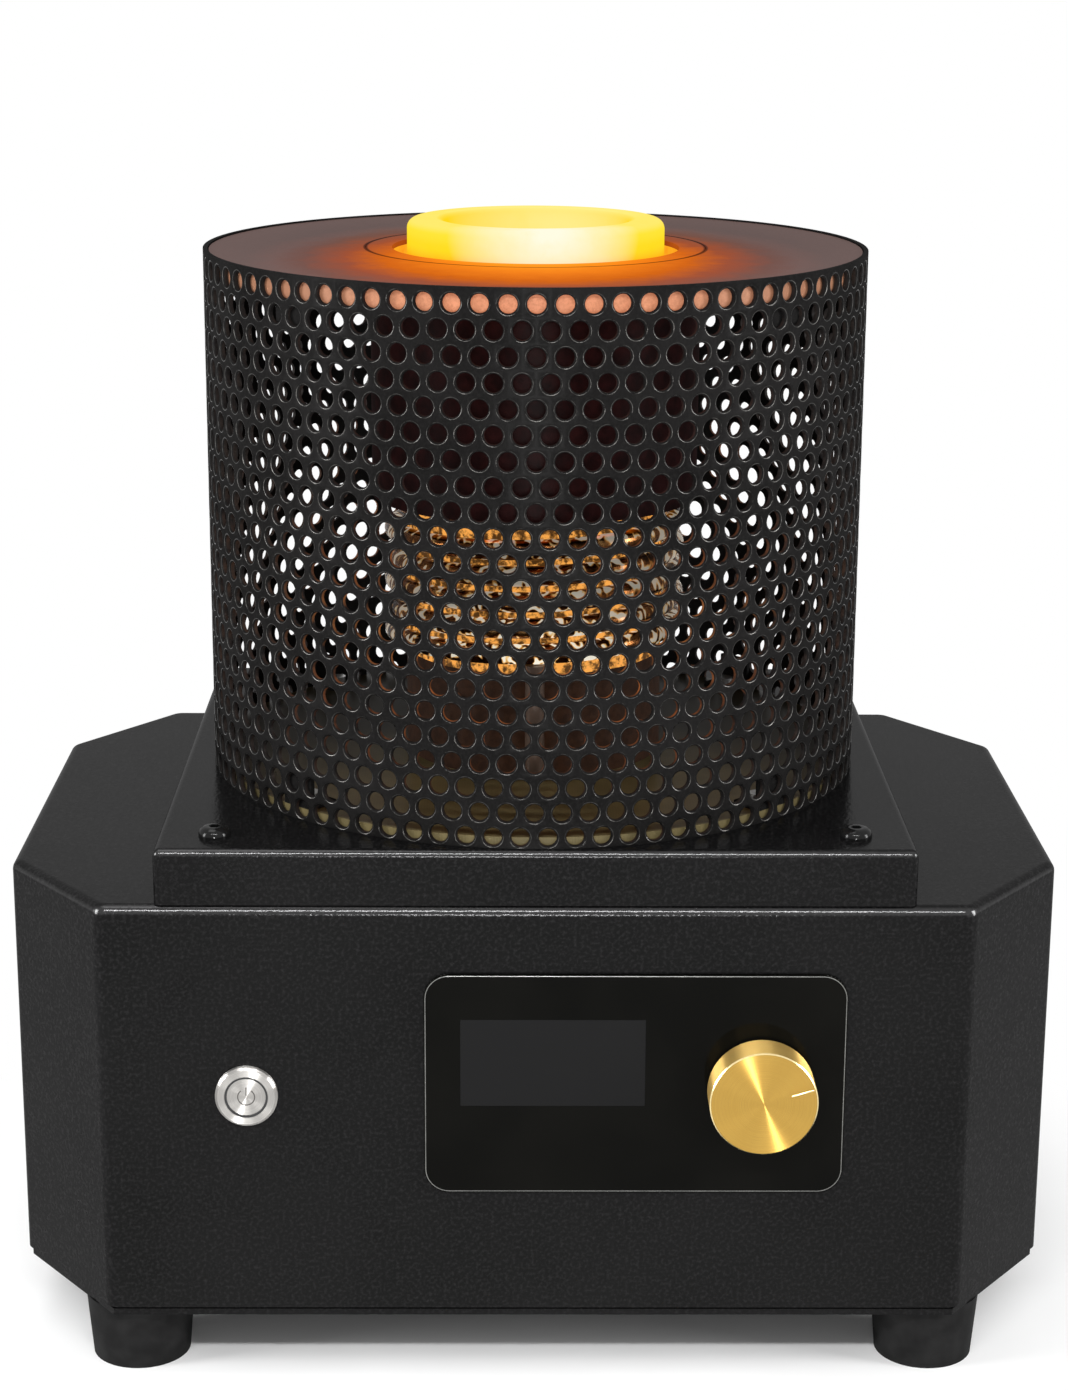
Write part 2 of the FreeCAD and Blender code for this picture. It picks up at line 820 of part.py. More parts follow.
def make_side_blocks():
    """Threaded blocks inside the case's short sides, which the base plate is screwed to."""
    corner = (
        "case_width / 2 - case_wall - block_side",
        "block_from_middle - block_side / 2",
        "plate_top",
    )
    body = block("Block_body", ("block_side", "block_side", "block_tall"), corner)
    hole_at = BLOCK_SPOT + ("plate_top",)
    hole = rod("Block_hole", "plate_screw_dia / 2 + fit_gap", "block_tall", hole_at)
    keep(four_corners("Side_blocks", cut("Side_block", body, [hole])), "side_blocks")

    at = BLOCK_SPOT + ("plate_bottom",)
    head_at = BLOCK_SPOT + ("plate_bottom - plate_screw_head_tall",)
    head = rod("Plate_screw_head", "plate_screw_head_dia / 2", "plate_screw_head_tall", head_at)
    stem = rod("Plate_screw_stem", "plate_screw_dia / 2", "plate_screw_long", at)
    keep(four_corners("Plate_screws", fuse("Plate_screw", [head, stem])), "base_screws")


def make_case():
    case = new_body("Case")
    sketch = sketch_on(case, "Case_outline", "XY_Plane", "case_bottom")
    polygon(sketch, eight_sided("0"))
    pad(case, sketch, "Case_pad", "case_height")
    round_edges(case, "Case_upright_bends", "case_upright_bend", is_upright)
    doc.recompute()
    round_edges(case, "Case_top_bends", "case_top_bend", lies_at(value_of("case_top")))
    hollow_from_below(case, "Case_wall", "case_wall")

    top = sketch_on(case, "Case_top_holes", "XY_Plane", "case_top")
    ring(top, "top_opening_dia / 2")
    for across, up in corner_spots(*PLINTH_SPOT):
        ring(top, "spacer_shank_dia / 2 + fit_gap", across, up)
    pocket(case, top, "Case_top_cut", "case_wall * 2")

    front = sketch_on(case, "Case_front_holes", "XZ_Plane", "-case_front")
    ring(front, "barrel_dia / 2 + hole_gap", "-button_left", "button_z")
    ring(front, "encoder_bush_dia / 2 + fit_gap", "knob_right", "knob_z")
    rectangle(front, "screen_width + 2 * display_border + 2 * seat_gap",
              "screen_height + 2 * display_border + 2 * seat_gap", "screen_right", "screen_z")
    pocket(case, front, "Case_front_cut", "case_wall * 2")

    rear = sketch_on(case, "Case_rear_holes", "XZ_Plane", "-case_back")
    ring(rear, "fan_bore / 2", "fan_right", "fan_z")
    for across, up in FAN_SPOTS:
        ring(rear, "fan_hole_dia / 2", across, up)
    rectangle(rear, "inlet_wide + 2 * seat_gap", "inlet_tall + 2 * seat_gap", "-inlet_left", "inlet_z")
    for across, up in INLET_SPOTS:
        ring(rear, "inlet_screw_dia / 2 + hole_gap", across, up)
    pocket(case, rear, "Case_rear_cut", "case_wall * 2", reverse=True)

    side = sketch_on(case, "Case_side_slots", "YZ_Plane", "case_width / 2")
    slots_in_row(side, int(SIZES["side_slots"]), "side_slot_long", "side_slot_wide",
                 "side_slot_step", "0", "plate_top + side_slot_above_plate + side_slot_long / 2",
                 along_up=True)
    pocket(case, side, "Case_side_cut", "case_width")
    keep(case, "case_shell")


def make_plinth():
    plinth = new_body("Plinth")
    sketch = sketch_on(plinth, "Plinth_outline", "XY_Plane", "case_top")
    rectangle(sketch, "plinth_width", "plinth_depth")
    pad(plinth, sketch, "Plinth_pad", "plinth_height")
    round_edges(plinth, "Plinth_upright_bends", "plinth_bend", is_upright)
    doc.recompute()
    round_edges(plinth, "Plinth_top_bends", "plinth_bend", lies_at(value_of("plinth_top")))
    hollow_from_below(plinth, "Plinth_wall", "plinth_wall")
    top = sketch_on(plinth, "Plinth_top_holes", "XY_Plane", "plinth_top")
    ring(top, "top_opening_dia / 2")
    for across, up in corner_spots(*PLINTH_SPOT):
        ring(top, "plinth_screw_dia / 2 + hole_gap", across, up)
    for across, up in corner_spots(*bracket_screw_spot()):
        ring(top, "bracket_screw_dia / 2 + fit_gap", across, up)
    pocket(plinth, top, "Plinth_top_cut", "plinth_wall * 2")
    keep(plinth, "plinth_cover")


def make_plinth_fasteners():
    bore = "plinth_screw_dia / 2 + fit_gap"
    spacer = lathe("Spacer", [
        (bore, "case_top - case_wall"),
        ("spacer_shank_dia / 2", "case_top - case_wall"),
        ("spacer_shank_dia / 2", "case_top"),
        ("spacer_dia / 2", "case_top"),
        ("spacer_dia / 2", "plinth_top - plinth_wall"),
        (bore, "plinth_top - plinth_wall"),
    ])
    spacer_at = moved("Spacer_at", spacer, PLINTH_SPOT + ("0",))
    keep(four_corners("Spacers", spacer_at), "plinth_spacers")

    screw = lathe("Plinth_screw", [
        ("0", "-plinth_screw_long"),
        ("plinth_screw_dia / 2", "-plinth_screw_long"),
        ("plinth_screw_dia / 2", "0"),
        ("plinth_head_dia / 2", "0"),
        ("plinth_head_dia / 2", "plinth_head_tall"),
        ("0", "plinth_head_tall"),
    ])
    round_edges(screw, "Plinth_screw_dome", "plinth_head_tall - plinth_head_edge",
                lies_at(value_of("plinth_head_tall")))
    socket = hexagon("Plinth_screw_socket", "plinth_socket_wide", "plinth_socket_deep + plinth_wall",
                     ("0", "0", "plinth_head_tall - plinth_socket_deep"))
    spot = moved("Plinth_screw_at", cut("Plinth_screw_cut", screw, [socket]), PLINTH_SPOT + ("plinth_top",))
    keep(four_corners("Plinth_screws", spot), "plinth_screws")


def bracket_screw_spot():
    """The screw's place in a bracket's foot, on the line at 45 degrees."""
    reach = "(guard_inner_rad - seat_gap - bracket_thick - (bracket_leg - bracket_thick) / 2)"
    return (f"{reach} * cos(45 deg)", f"{reach} * sin(45 deg)")


def angle_bracket(name, leg, height, foot_height):
    """An angle whose upright stands against the guard's inside wall, at 45 degrees."""
    reach = "(guard_inner_rad - seat_gap)"
    turn = Rotation(Vector(0, 0, 1), 45)
    shares = "cos(45 deg)"

    def corner(inward, up):
        out = f"({reach} - ({inward}))"
        across = f"{out} * {shares} + bracket_wide / 2 * {shares}"
        back = f"{out} * {shares} - bracket_wide / 2 * {shares}"
        return (across, back, up)

    upright = block(name + "_upright", ("bracket_thick", "bracket_wide", leg),
                    corner("bracket_thick", height), turn)
    foot = block(name + "_foot", (leg, "bracket_wide", "bracket_thick"), corner(leg, foot_height), turn)
    return fuse(name, [upright, foot])


def make_guard():
    """The rolled guard, with a plain grid of openings in place of its fine punching."""
    guard = lathe("Guard", [
        ("guard_inner_rad", "plinth_top"),
        ("guard_dia / 2", "plinth_top"),
        ("guard_dia / 2", "guard_top"),
        ("guard_inner_rad", "guard_top"),
    ])
    holes = []
    around = int(SIZES["guard_holes_round"])
    rows = int(SIZES["guard_hole_rows"])
    row_step = f"(guard_height - 2 * guard_hole_edge) / {rows - 1}"
    inward = "(guard_inner_rad - guard_wall)"
    for row in range(rows):
        half_step = (row + 1) % 2 / 2
        for spot in range(around):
            angle = (spot + half_step) * 360 / around
            hole = rod(f"Guard_hole_{row}_{spot}", "guard_hole_dia / 2", "guard_wall * 3")
            outwards = Rotation(Vector(0, 0, 1), angle).multiply(TURNS["x"])
            holes.append(place(hole, (
                f"{inward} * cos({angle} deg)",
                f"{inward} * sin({angle} deg)",
                f"plinth_top + guard_hole_edge + {row} * {row_step}",
            ), outwards))
    keep(cut("Guard_cut", guard, holes), "perforated_guard")


def make_guard_fasteners():
    bracket = angle_bracket("Bracket", "bracket_leg", "floor_top", "floor_top")
    hole_at = bracket_screw_spot() + ("floor_top",)
    hole = rod("Bracket_hole", "bracket_screw_dia / 2 + hole_gap", "bracket_thick", hole_at)
    keep(four_corners("Brackets", cut("Bracket_cut", bracket, [hole])), "guard_brackets")

    seat = "floor_top + bracket_thick"
    head = rod("Bracket_screw_head", "bracket_head_dia / 2", "bracket_head_tall",
               bracket_screw_spot() + (seat,))
    stem = rod("Bracket_screw_stem", "bracket_screw_dia / 2", "bracket_screw_long",
               bracket_screw_spot() + (f"{seat} - bracket_screw_long",))
    keep(four_corners("Bracket_screws", fuse("Bracket_screw", [head, stem])), "bracket_screws")

    rest = "lid_top - lid_skirt_tall"
    lug = angle_bracket("Lug", "lug_leg", f"{rest} - lug_leg", f"{rest} - bracket_thick")
    keep(four_corners("Lugs", lug), "lid_lugs")


def make_floor():
    """The insulating board inside the guard, with the holes for leads and bracket screws."""
    board = new_body("Floor")
    sketch = sketch_on(board, "Floor_outline", "XY_Plane", "plinth_top")
    ring(sketch, "guard_inner_rad - seat_gap")
    for sign in ("", "-"):
        ring(sketch, "bushing_dia / 2 + fit_gap", sign + "coil_lead_out", "coil_mean_rad")
    for across, up in corner_spots(*bracket_screw_spot()):
        ring(sketch, "bracket_screw_dia / 2 + hole_gap", across, up)
    pad(board, sketch, "Floor_pad", "floor_thick")
    keep(board, "floor_board")


def make_lid():
    outer = "guard_inner_rad - seat_gap"
    lid = lathe("Lid", [
        ("sleeve_dia / 2 + seat_gap", "lid_top - lid_thick"),
        (f"{outer} - lid_skirt_wall", "lid_top - lid_thick"),
        (f"{outer} - lid_skirt_wall", "lid_top - lid_skirt_tall"),
        (outer, "lid_top - lid_skirt_tall"),
        (outer, "lid_top"),
        ("collar_dia / 2 + seat_gap", "lid_top"),
        ("collar_dia / 2 + seat_gap", "ledge_top"),
        ("sleeve_dia / 2 + seat_gap", "ledge_top"),
    ])
    keep(lid, "lid_plate")


def make_sleeve():
    sleeve = lathe("Sleeve", [
        ("sleeve_bore / 2", "sleeve_bottom"),
        ("sleeve_dia / 2", "sleeve_bottom"),
        ("sleeve_dia / 2", "ledge_top"),
        ("collar_dia / 2", "ledge_top"),
        ("collar_dia / 2", "ledge_top + sleeve_flange_thick"),
        ("sleeve_bore / 2", "ledge_top + sleeve_flange_thick"),
    ])
    keep(sleeve, "refractory_sleeve")


def make_collar():
    collar = lathe("Collar", [
        ("collar_bore / 2", "lid_top - collar_thick"),
        ("collar_dia / 2", "lid_top - collar_thick"),
        ("collar_dia / 2", "lid_top"),
        ("collar_bore / 2", "lid_top"),
    ])
    keep(collar, "collar_ring")


def make_crucible():
    """A thick pot, narrow where it stands in the coil and full width above it."""
    crucible = lathe("Crucible", [
        ("0", "pedestal_top"),
        ("crucible_foot_dia / 2", "pedestal_top"),
        ("crucible_waist_dia / 2", "coil_crown"),
        ("crucible_dia / 2", "crucible_top - crucible_straight"),
        ("crucible_dia / 2", "crucible_top"),
        ("crucible_bore / 2", "crucible_top"),
        ("crucible_foot_bore / 2", "pedestal_top + crucible_floor_thick"),
        ("0", "pedestal_top + crucible_floor_thick"),
    ])
    round_edges(crucible, "Crucible_rim", "crucible_rim_round", lies_at(value_of("crucible_top")))
    keep(crucible, "crucible")


def make_liner():
    """The insulating tube between the crucible and the coil."""
    outer = "coil_mean_rad - coil_tube_dia / 2 - 2 * seat_gap"
    liner = lathe("Liner", [
        ("liner_bore / 2", "pedestal_top"),
        (outer, "pedestal_top"),
        (outer, "coil_crown + liner_above_coil"),
        ("liner_bore / 2", "coil_crown + liner_above_coil"),
    ])
    keep(liner, "crucible_liner")


def make_pedestal():
    pedestal = rod("Pedestal", "pedestal_dia / 2", "pedestal_tall", ("0", "0", "floor_top"))
    keep(moved("Pedestal_at", pedestal, ("0", "0", "0")), "crucible_pedestal")


def coil_edges():
    """The coil's route: down lead, turns from the back and round again, down lead."""
    radius = value_of("coil_mean_rad")
    pitch = value_of("coil_pitch")
    start = value_of("coil_start")
    turns = int(value_of("coil_turns"))
    back = math.pi / 2
    top_angle = back + 2 * math.pi * turns
    low_end = value_of("bank_top") + value_of("terminal_tall") - value_of("terminal_grip")
    run = value_of("coil_lead_out")
    bend = value_of("coil_lead_bend")
    first = helix_point(radius, pitch, start, back, back)
    last = helix_point(radius, pitch, start, back, top_angle)
    way_in = lead_corners(first, helix_heading(radius, pitch, back) * -1, run, bend, low_end)
    way_out = lead_corners(last, helix_heading(radius, pitch, top_angle), run, bend, low_end)
    return lead(way_in[::-1]) + wound_path(radius, pitch, start, turns, back) + lead(way_out)


def make_coil():
    edges = coil_edges()
    diameter = value_of("coil_tube_dia")
    coil = doc.addObject("Part::Feature", "Coil")
    coil.Shape = tube_along(edges, diameter)
    print("coil: least gap to itself", round(least_gap(edges, diameter), 2), "mm")
    keep(coil, "induction_coil")


def make_coil_standoffs():
    """Ceramic pillars under the lowest turn, each as tall as the winding is there."""
    pillars = []
    for index, angle in enumerate((150, 270, 390)):
        rise = f"coil_pitch * ({angle} - 90) / 360"
        tall = f"coil_start + {rise} - coil_tube_dia / 2 - seat_gap - floor_top"
        at = (f"coil_mean_rad * cos({angle} deg)", f"coil_mean_rad * sin({angle} deg)", "floor_top")
        pillars.append(rod(f"Pillar_{index}", "standoff_dia / 2", tall, at))
    keep(gather("Pillars", pillars), "coil_standoffs")


def make_bushings():
    bore = "coil_tube_dia / 2 + hole_gap"
    bushing = lathe("Bushing", [
        (bore, "plinth_top - bushing_below_floor"),
        ("bushing_dia / 2", "plinth_top - bushing_below_floor"),
        ("bushing_dia / 2", "floor_top"),
        ("bushing_flange_dia / 2", "floor_top"),
        ("bushing_flange_dia / 2", "floor_top + bushing_flange_thick"),
        (bore, "floor_top + bushing_flange_thick"),
    ])
    spot = moved("Bushing_at", bushing, ("coil_lead_out", "coil_mean_rad", "0"))
    keep(left_and_right("Bushings", spot), "lead_bushings")


def make_capacitor_bank():
    deck_corner = ("-bank_wide / 2", "bank_front", "bank_bottom")
    deck = block("Bank_deck", ("bank_wide", "bank_deep", "bank_thick"), deck_corner)
    keep(gather("Bank", [deck]), "capacitor_board")

    across = "bank_wide / 2 - bank_post_inset"
    posts = []
    for index, sign in enumerate(("", "-")):
        for place_index, back in enumerate(("bank_front + bank_post_inset",
                                            "bank_front + bank_deep - bank_post_inset")):
            at = (f"{sign}({across})", back, "bank_top")
            posts.append(rod(f"Bank_post_{index}_{place_index}", "bank_post_dia / 2",
                             "case_top - case_wall - bank_top", at))
    keep(gather("Bank_posts", posts), "bank_posts")

    cans = []
    for index in range(int(SIZES["tank_count"])):
        middle = f"({index} - (tank_count - 1) / 2) * tank_step"
        corner = (f"{middle} - tank_wide / 2", "bank_front + tank_from_edge", "bank_top")
        cans.append(block(f"Tank_{index}", ("tank_wide", "tank_deep", "tank_tall"), corner))
    keep(gather("Tanks", cans), "tank_capacitors")


def make_terminals():
    """Brass blocks that clamp the ends of the coil."""
    at = ("coil_lead_out", "coil_mean_rad", "bank_top")
    corner = ("coil_lead_out - terminal_side / 2", "coil_mean_rad - terminal_side / 2", "bank_top")
    body = block("Terminal_body", ("terminal_side", "terminal_side", "terminal_tall"), corner)
    bore_at = at[:2] + ("bank_top + terminal_tall - terminal_grip",)
    bore = rod("Terminal_bore", "coil_tube_dia / 2 + fit_gap", "terminal_grip", bore_at)
    middle = "bank_top + terminal_tall - terminal_grip / 2"
    screw_from = "coil_mean_rad - terminal_side / 2"
    screw_long = "terminal_side / 2 - coil_tube_dia / 2 - seat_gap"
    thread = rod("Terminal_thread", "terminal_screw_dia / 2 + fit_gap", "terminal_side / 2",
                 ("coil_lead_out", screw_from, middle), "y")
    keep(left_and_right("Terminals", cut("Terminal", body, [fuse("Terminal_holes", [bore, thread])])),
         "coil_terminals")

    head = rod("Clamp_head", "terminal_screw_head_dia / 2", "terminal_screw_head_tall",
               ("coil_lead_out", f"{screw_from} - terminal_screw_head_tall", middle), "y")
    stem = rod("Clamp_stem", "terminal_screw_dia / 2", screw_long,
               ("coil_lead_out", screw_from, middle), "y")
    keep(left_and_right("Clamp_screws", fuse("Clamp_screw", [head, stem])), "terminal_screws")


def make_inverter():
    corner = ("-board_left", "-board_front", "board_bottom")
    board = block("Board", ("board_wide", "board_deep", "board_thick"), corner)
    keep(gather("Board_at", [board]), "inverter_board")

    posts = []
    spots = [
        (f"-board_left + {across}", f"-board_front + {back}")
        for across in ("board_post_inset", "board_wide - board_post_inset")
        for back in ("board_post_inset", "board_deep - board_post_inset")
    ]
    for index, spot in enumerate(spots):
        posts.append(rod(f"Board_post_{index}", "board_post_dia / 2", "board_lift", spot + ("plate_top",)))
    keep(gather("Board_posts", posts), "board_posts")

    cans = []
    for index in range(int(SIZES["bulk_count"])):
        at = ("-board_left + bulk_right", f"-board_front + bulk_back + {index} * bulk_step", "board_top")
        cans.append(rod(f"Bulk_{index}", "bulk_dia / 2", "bulk_tall", at))
    keep(gather("Bulk_cans", cans), "bulk_capacitors")

    choke = doc.addObject("Part::Torus", "Choke")
    choke.setExpression("Radius1", link("choke_dia / 2"))
    choke.setExpression("Radius2", link("choke_core / 2"))
    place(choke, ("-board_left + choke_right", "-board_front + choke_back", "board_top + choke_core / 2"),
          Rotation())
    keep(gather("Choke_at", [choke]), "line_choke")


def make_heat_sink():
    """An upright comb of fins on a base, with the power transistors on its left side."""
    left = "fan_right - sink_wide / 2"
    back = "inner_back - fan_deep - sink_to_fan - sink_deep"
    sink = new_body("Sink")
    sketch = sketch_on(sink, "Sink_outline", "XZ_Plane", f"-({back})")
    count = int(SIZES["sink_fins"])
    step = f"((sink_wide - sink_fin_thick) / {count - 1})"
    points = [(left, "plate_top"), (f"{left} + sink_wide", "plate_top")]
    for index in range(count - 1, -1, -1):
        fin = f"{left} + {index} * {step}"
        points += [(f"{fin} + sink_fin_thick", "plate_top + sink_tall"), (fin, "plate_top + sink_tall")]
        if index:
            points += [(fin, "plate_top + sink_base"),
                       (f"{fin} - {step} + sink_fin_thick", "plate_top + sink_base")]
    polygon(sketch, points)
    pad(sink, sketch, "Sink_pad", "sink_deep", reverse=True)
    keep(sink, "heat_sink")

    chips = []
    for index in range(int(SIZES["transistor_count"])):
        middle = f"{back} + sink_deep / 2 + ({index} - (transistor_count - 1) / 2) * transistor_step"
        corner = (f"{left} - transistor_deep", f"{middle} - transistor_wide / 2", "plate_top + transistor_lift")
        chips.append(block(f"Transistor_{index}", ("transistor_deep", "transistor_wide", "transistor_tall"),
                           corner))
    keep(gather("Transistors", chips), "power_transistors")

    bridge_corner = (f"{left} + sink_wide / 2 - bridge_wide / 2", f"{back} - bridge_deep",
                     "plate_top + transistor_lift")
    bridge = block("Bridge", ("bridge_wide", "bridge_deep", "bridge_tall"), bridge_corner)
    keep(gather("Bridge_at", [bridge]), "bridge_rectifier")


def make_fan():
    front = "inner_back - fan_deep"
    corner = ("fan_right - fan_side / 2", front, "fan_z - fan_side / 2")
    frame = block("Fan_block", ("fan_side", "fan_deep", "fan_side"), corner)
    axis = ("fan_right", front, "fan_z")
    bore = rod("Fan_bore", "fan_bore / 2", "fan_deep", axis, "y")
    holes = [
        rod(f"Fan_hole_{index}", "fan_hole_dia / 2", "fan_deep", (across, front, up), "y")
        for index, (across, up) in enumerate(FAN_SPOTS)
    ]
    shell = cut("Fan_shell", frame, [bore] + holes)
    strut = block("Fan_strut", ("fan_bore + fan_axle_dia", "fan_strut_thick", "fan_strut_wide"),
                  ("fan_right - (fan_bore + fan_axle_dia) / 2", front, "fan_z - fan_strut_wide / 2"))
    seat = rod("Fan_seat", "fan_hub_dia / 2", "fan_strut_thick", axis, "y")
    axle = rod("Fan_axle", "fan_axle_dia / 2", "fan_strut_thick + fan_hub_deep / 2", axis, "y")
    keep(fuse("Fan_frame", [shell, strut, seat, axle]), "fan_frame")

    hub_from = f"{front} + fan_strut_thick + seat_gap"
    hub = rod("Fan_hub", "fan_hub_dia / 2", "fan_hub_deep", ("fan_right", hub_from, "fan_z"), "y")
    blades = []
    for index in range(int(SIZES["fan_blades"])):
        turn = Rotation(Vector(0, 1, 0), 360 * index / SIZES["fan_blades"])
        lean = Rotation(Vector(0, 0, 1), SIZES["fan_blade_pitch"])
        blade_long = "(fan_rotor_dia - fan_hub_dia) / 2 + fan_blade_root"
        blade = block(f"Fan_blade_{index}", ("fan_blade_thick", "fan_blade_wide", blade_long),
                      ("0", "0", "0"), turn.multiply(lean))
        offset = turn.multVec(Vector(0, 0, 1))
        reach = "(fan_hub_dia / 2 - fan_blade_root)"
        place(blade, (f"fan_right + {offset.x:.6f} * {reach}",
                      f"{hub_from} + (fan_hub_deep - fan_blade_wide * cos(fan_blade_pitch * 1 deg)) / 2",
                      f"fan_z + {offset.z:.6f} * {reach}"), turn.multiply(lean))
        blades.append(blade)
    bore_long = "fan_hub_deep / 2 + 2 * seat_gap"
    rotor_bore = rod("Rotor_bore", "fan_axle_dia / 2 + fit_gap", bore_long,
                     ("fan_right", hub_from, "fan_z"), "y")
    keep(cut("Fan_rotor", fuse("Rotor_solid", [hub] + blades), [rotor_bore]), "fan_rotor")


def make_fan_grille():
    """A finger guard of wire rings and a cross outside the rear wall, with its four screws."""
    centre = ("fan_right", "case_back + grille_bar_thick", "fan_z")
    wires = []
    for index in range(int(SIZES["grille_rings"])):
        loop = doc.addObject("Part::Torus", f"Grille_ring_{index}")
        loop.setExpression("Radius1", link(f"grille_inner_dia / 2 + {index} * grille_ring_step / 2"))
        loop.setExpression("Radius2", link("grille_wire / 2"))
        wires.append(place(loop, centre, TURNS["y"]))
    reach = "(fan_screw_spread / 2 * sqrt(2) + fan_screw_head_dia / 2)"
    for index, angle in enumerate((45, 135)):
        turn = Rotation(Vector(0, 1, 0), angle)
        bar = block(f"Grille_bar_{index}", (f"2 * {reach}", "grille_bar_thick", "grille_bar_wide"),
                    ("0", "0", "0"), turn)
        away = turn.multVec(Vector(1, 0, 0))
        up = turn.multVec(Vector(0, 0, 1))
        place(bar, (f"fan_right - {away.x:.6f} * {reach} - {up.x:.6f} * grille_bar_wide / 2",
                    "case_back",
                    f"fan_z - {away.z:.6f} * {reach} - {up.z:.6f} * grille_bar_wide / 2"), turn)
        wires.append(bar)
    holes = [
        rod(f"Grille_hole_{index}", "fan_bolt_dia / 2 + hole_gap / 2", "grille_bar_thick",
            (across, "case_back", up), "y")
        for index, (across, up) in enumerate(FAN_SPOTS)
    ]
    keep(cut("Grille", fuse("Grille_solid", wires), holes), "fan_grille")

    screws = []
    seat = "(case_back + grille_bar_thick)"
    bolt_long = f"{seat} - (inner_back - fan_deep / 2)"
    for index, (across, up) in enumerate(FAN_SPOTS):
        head = rod(f"Fan_screw_head_{index}", "fan_screw_head_dia / 2", "fan_screw_head_tall",
                   (across, seat, up), "y")
        stem = rod(f"Fan_screw_stem_{index}", "fan_bolt_dia / 2", bolt_long,
                   (across, "inner_back - fan_deep / 2", up), "y")
        screws.append(fuse(f"Fan_screw_{index}", [head, stem]))
    keep(gather("Fan_screws", screws), "fan_screws")


def make_inlet():
    """The three-pin mains socket in the rear wall, with its two screws."""
    flange = block("Inlet_flange", ("inlet_flange_wide", "inlet_flange_thick", "inlet_flange_tall"),
                   ("-inlet_left - inlet_flange_wide / 2", "case_back", "inlet_z - inlet_flange_tall / 2"))
    bodied = block("Inlet_body", ("inlet_wide", "inlet_deep", "inlet_tall"),
                   ("-inlet_left - inlet_wide / 2", "case_back - inlet_deep", "inlet_z - inlet_tall / 2"))
    outer = "case_back + inlet_flange_thick"
    mouth = block("Inlet_mouth", ("inlet_mouth_wide", "inlet_mouth_deep", "inlet_mouth_tall"),
                  ("-inlet_left - inlet_mouth_wide / 2", f"{outer} - inlet_mouth_deep",
                   "inlet_z - inlet_mouth_tall / 2"))
    holes = [
        rod(f"Inlet_hole_{index}", "inlet_screw_dia / 2 + hole_gap", "inlet_flange_thick",
            (across, "case_back", up), "y")
        for index, (across, up) in enumerate(INLET_SPOTS)
    ]
    keep(cut("Inlet", fuse("Inlet_solid", [flange, bodied]), [mouth] + holes), "mains_inlet")

    pins = []
    for index, sign in enumerate("-+-"):
        across = f"-inlet_left + ({index} - 1) * inlet_pin_step"
        pins.append(rod(f"Pin_{index}", "inlet_pin_dia / 2", "inlet_pin_long",
                        (across, f"{outer} - inlet_mouth_deep", f"inlet_z {sign} inlet_pin_lift"), "y"))
    keep(gather("Pins", pins), "inlet_pins")

    screws = []
    for index, (across, up) in enumerate(INLET_SPOTS):
        head = rod(f"Inlet_screw_head_{index}", "inlet_screw_head_dia / 2", "inlet_screw_head_tall",
                   (across, outer, up), "y")
        stem_long = "inlet_flange_thick + case_wall + inlet_screw_past"
        stem = rod(f"Inlet_screw_stem_{index}", "inlet_screw_dia / 2", stem_long,
                   (across, f"{outer} - ({stem_long})", up), "y")
        screws.append(fuse(f"Inlet_screw_{index}", [head, stem]))
    keep(gather("Inlet_screws", screws), "inlet_screws")


def make_panel():
    """The flat glossy overlay on the front wall, with a window and a hole for the encoder."""
    panel = new_body("Panel")
    sketch = sketch_on(panel, "Panel_outline", "XZ_Plane", "-case_front")
    rectangle(sketch, "panel_width", "panel_height", "panel_right", "panel_z")
    pad(panel, sketch, "Panel_pad", "panel_thick")

    def is_corner(edge):
        thick = value_of("panel_thick")
        return abs(edge.BoundBox.YLength - thick) < 1e-6 and abs(edge.Length - thick) < 1e-6

    round_edges(panel, "Panel_corners", "panel_round", is_corner)
    holes = sketch_on(panel, "Panel_holes", "XZ_Plane", "-panel_face")
    rectangle(holes, "screen_width", "screen_height", "screen_right", "screen_z")
    ring(holes, "encoder_nut_wide / 2 / cos(30 deg) + hole_gap", "knob_right", "knob_z")
    pocket(panel, holes, "Panel_cut", "panel_thick")
    keep(panel, "control_panel")


def make_display():
    """The screen's window, which fills the panel's opening, and the module behind it."""
    glass_width = "screen_width - 2 * fit_gap"
    glass_height = "screen_height - 2 * fit_gap"
    glass = block("Glass", (glass_width, "panel_thick - fit_gap", glass_height),
                  (f"screen_right - ({glass_width}) / 2", "panel_face + fit_gap",
                   f"screen_z - ({glass_height}) / 2"))
    keep(gather("Glass_at", [glass]), "screen_window")

    width = "screen_width + 2 * display_border"
    height = "screen_height + 2 * display_border"
    module = block("Display", (width, "display_thick", height),
                   (f"screen_right - ({width}) / 2", "case_front", f"screen_z - ({height}) / 2"))
    keep(gather("Display_at", [module]), "display_module")


def make_control_board():
    left = "panel_right - control_board_wide / 2"
    low = "panel_z - control_board_tall / 2"
    board = block("Control", ("control_board_wide", "board_thick", "control_board_tall"),
                  (left, "control_front", low))
    keep(gather("Control_at", [board]), "control_board")

    posts = []
    for index, across in enumerate(("control_post_inset", "control_board_wide - control_post_inset")):
        for row, up in enumerate(("control_post_inset", "control_board_tall - control_post_inset")):
            posts.append(rod(f"Control_post_{index}_{row}", "control_post_dia / 2", "control_board_gap",
                             (f"{left} + {across}", "inner_front", f"{low} + {up}"), "y"))
    keep(gather("Control_posts", posts), "control_posts")


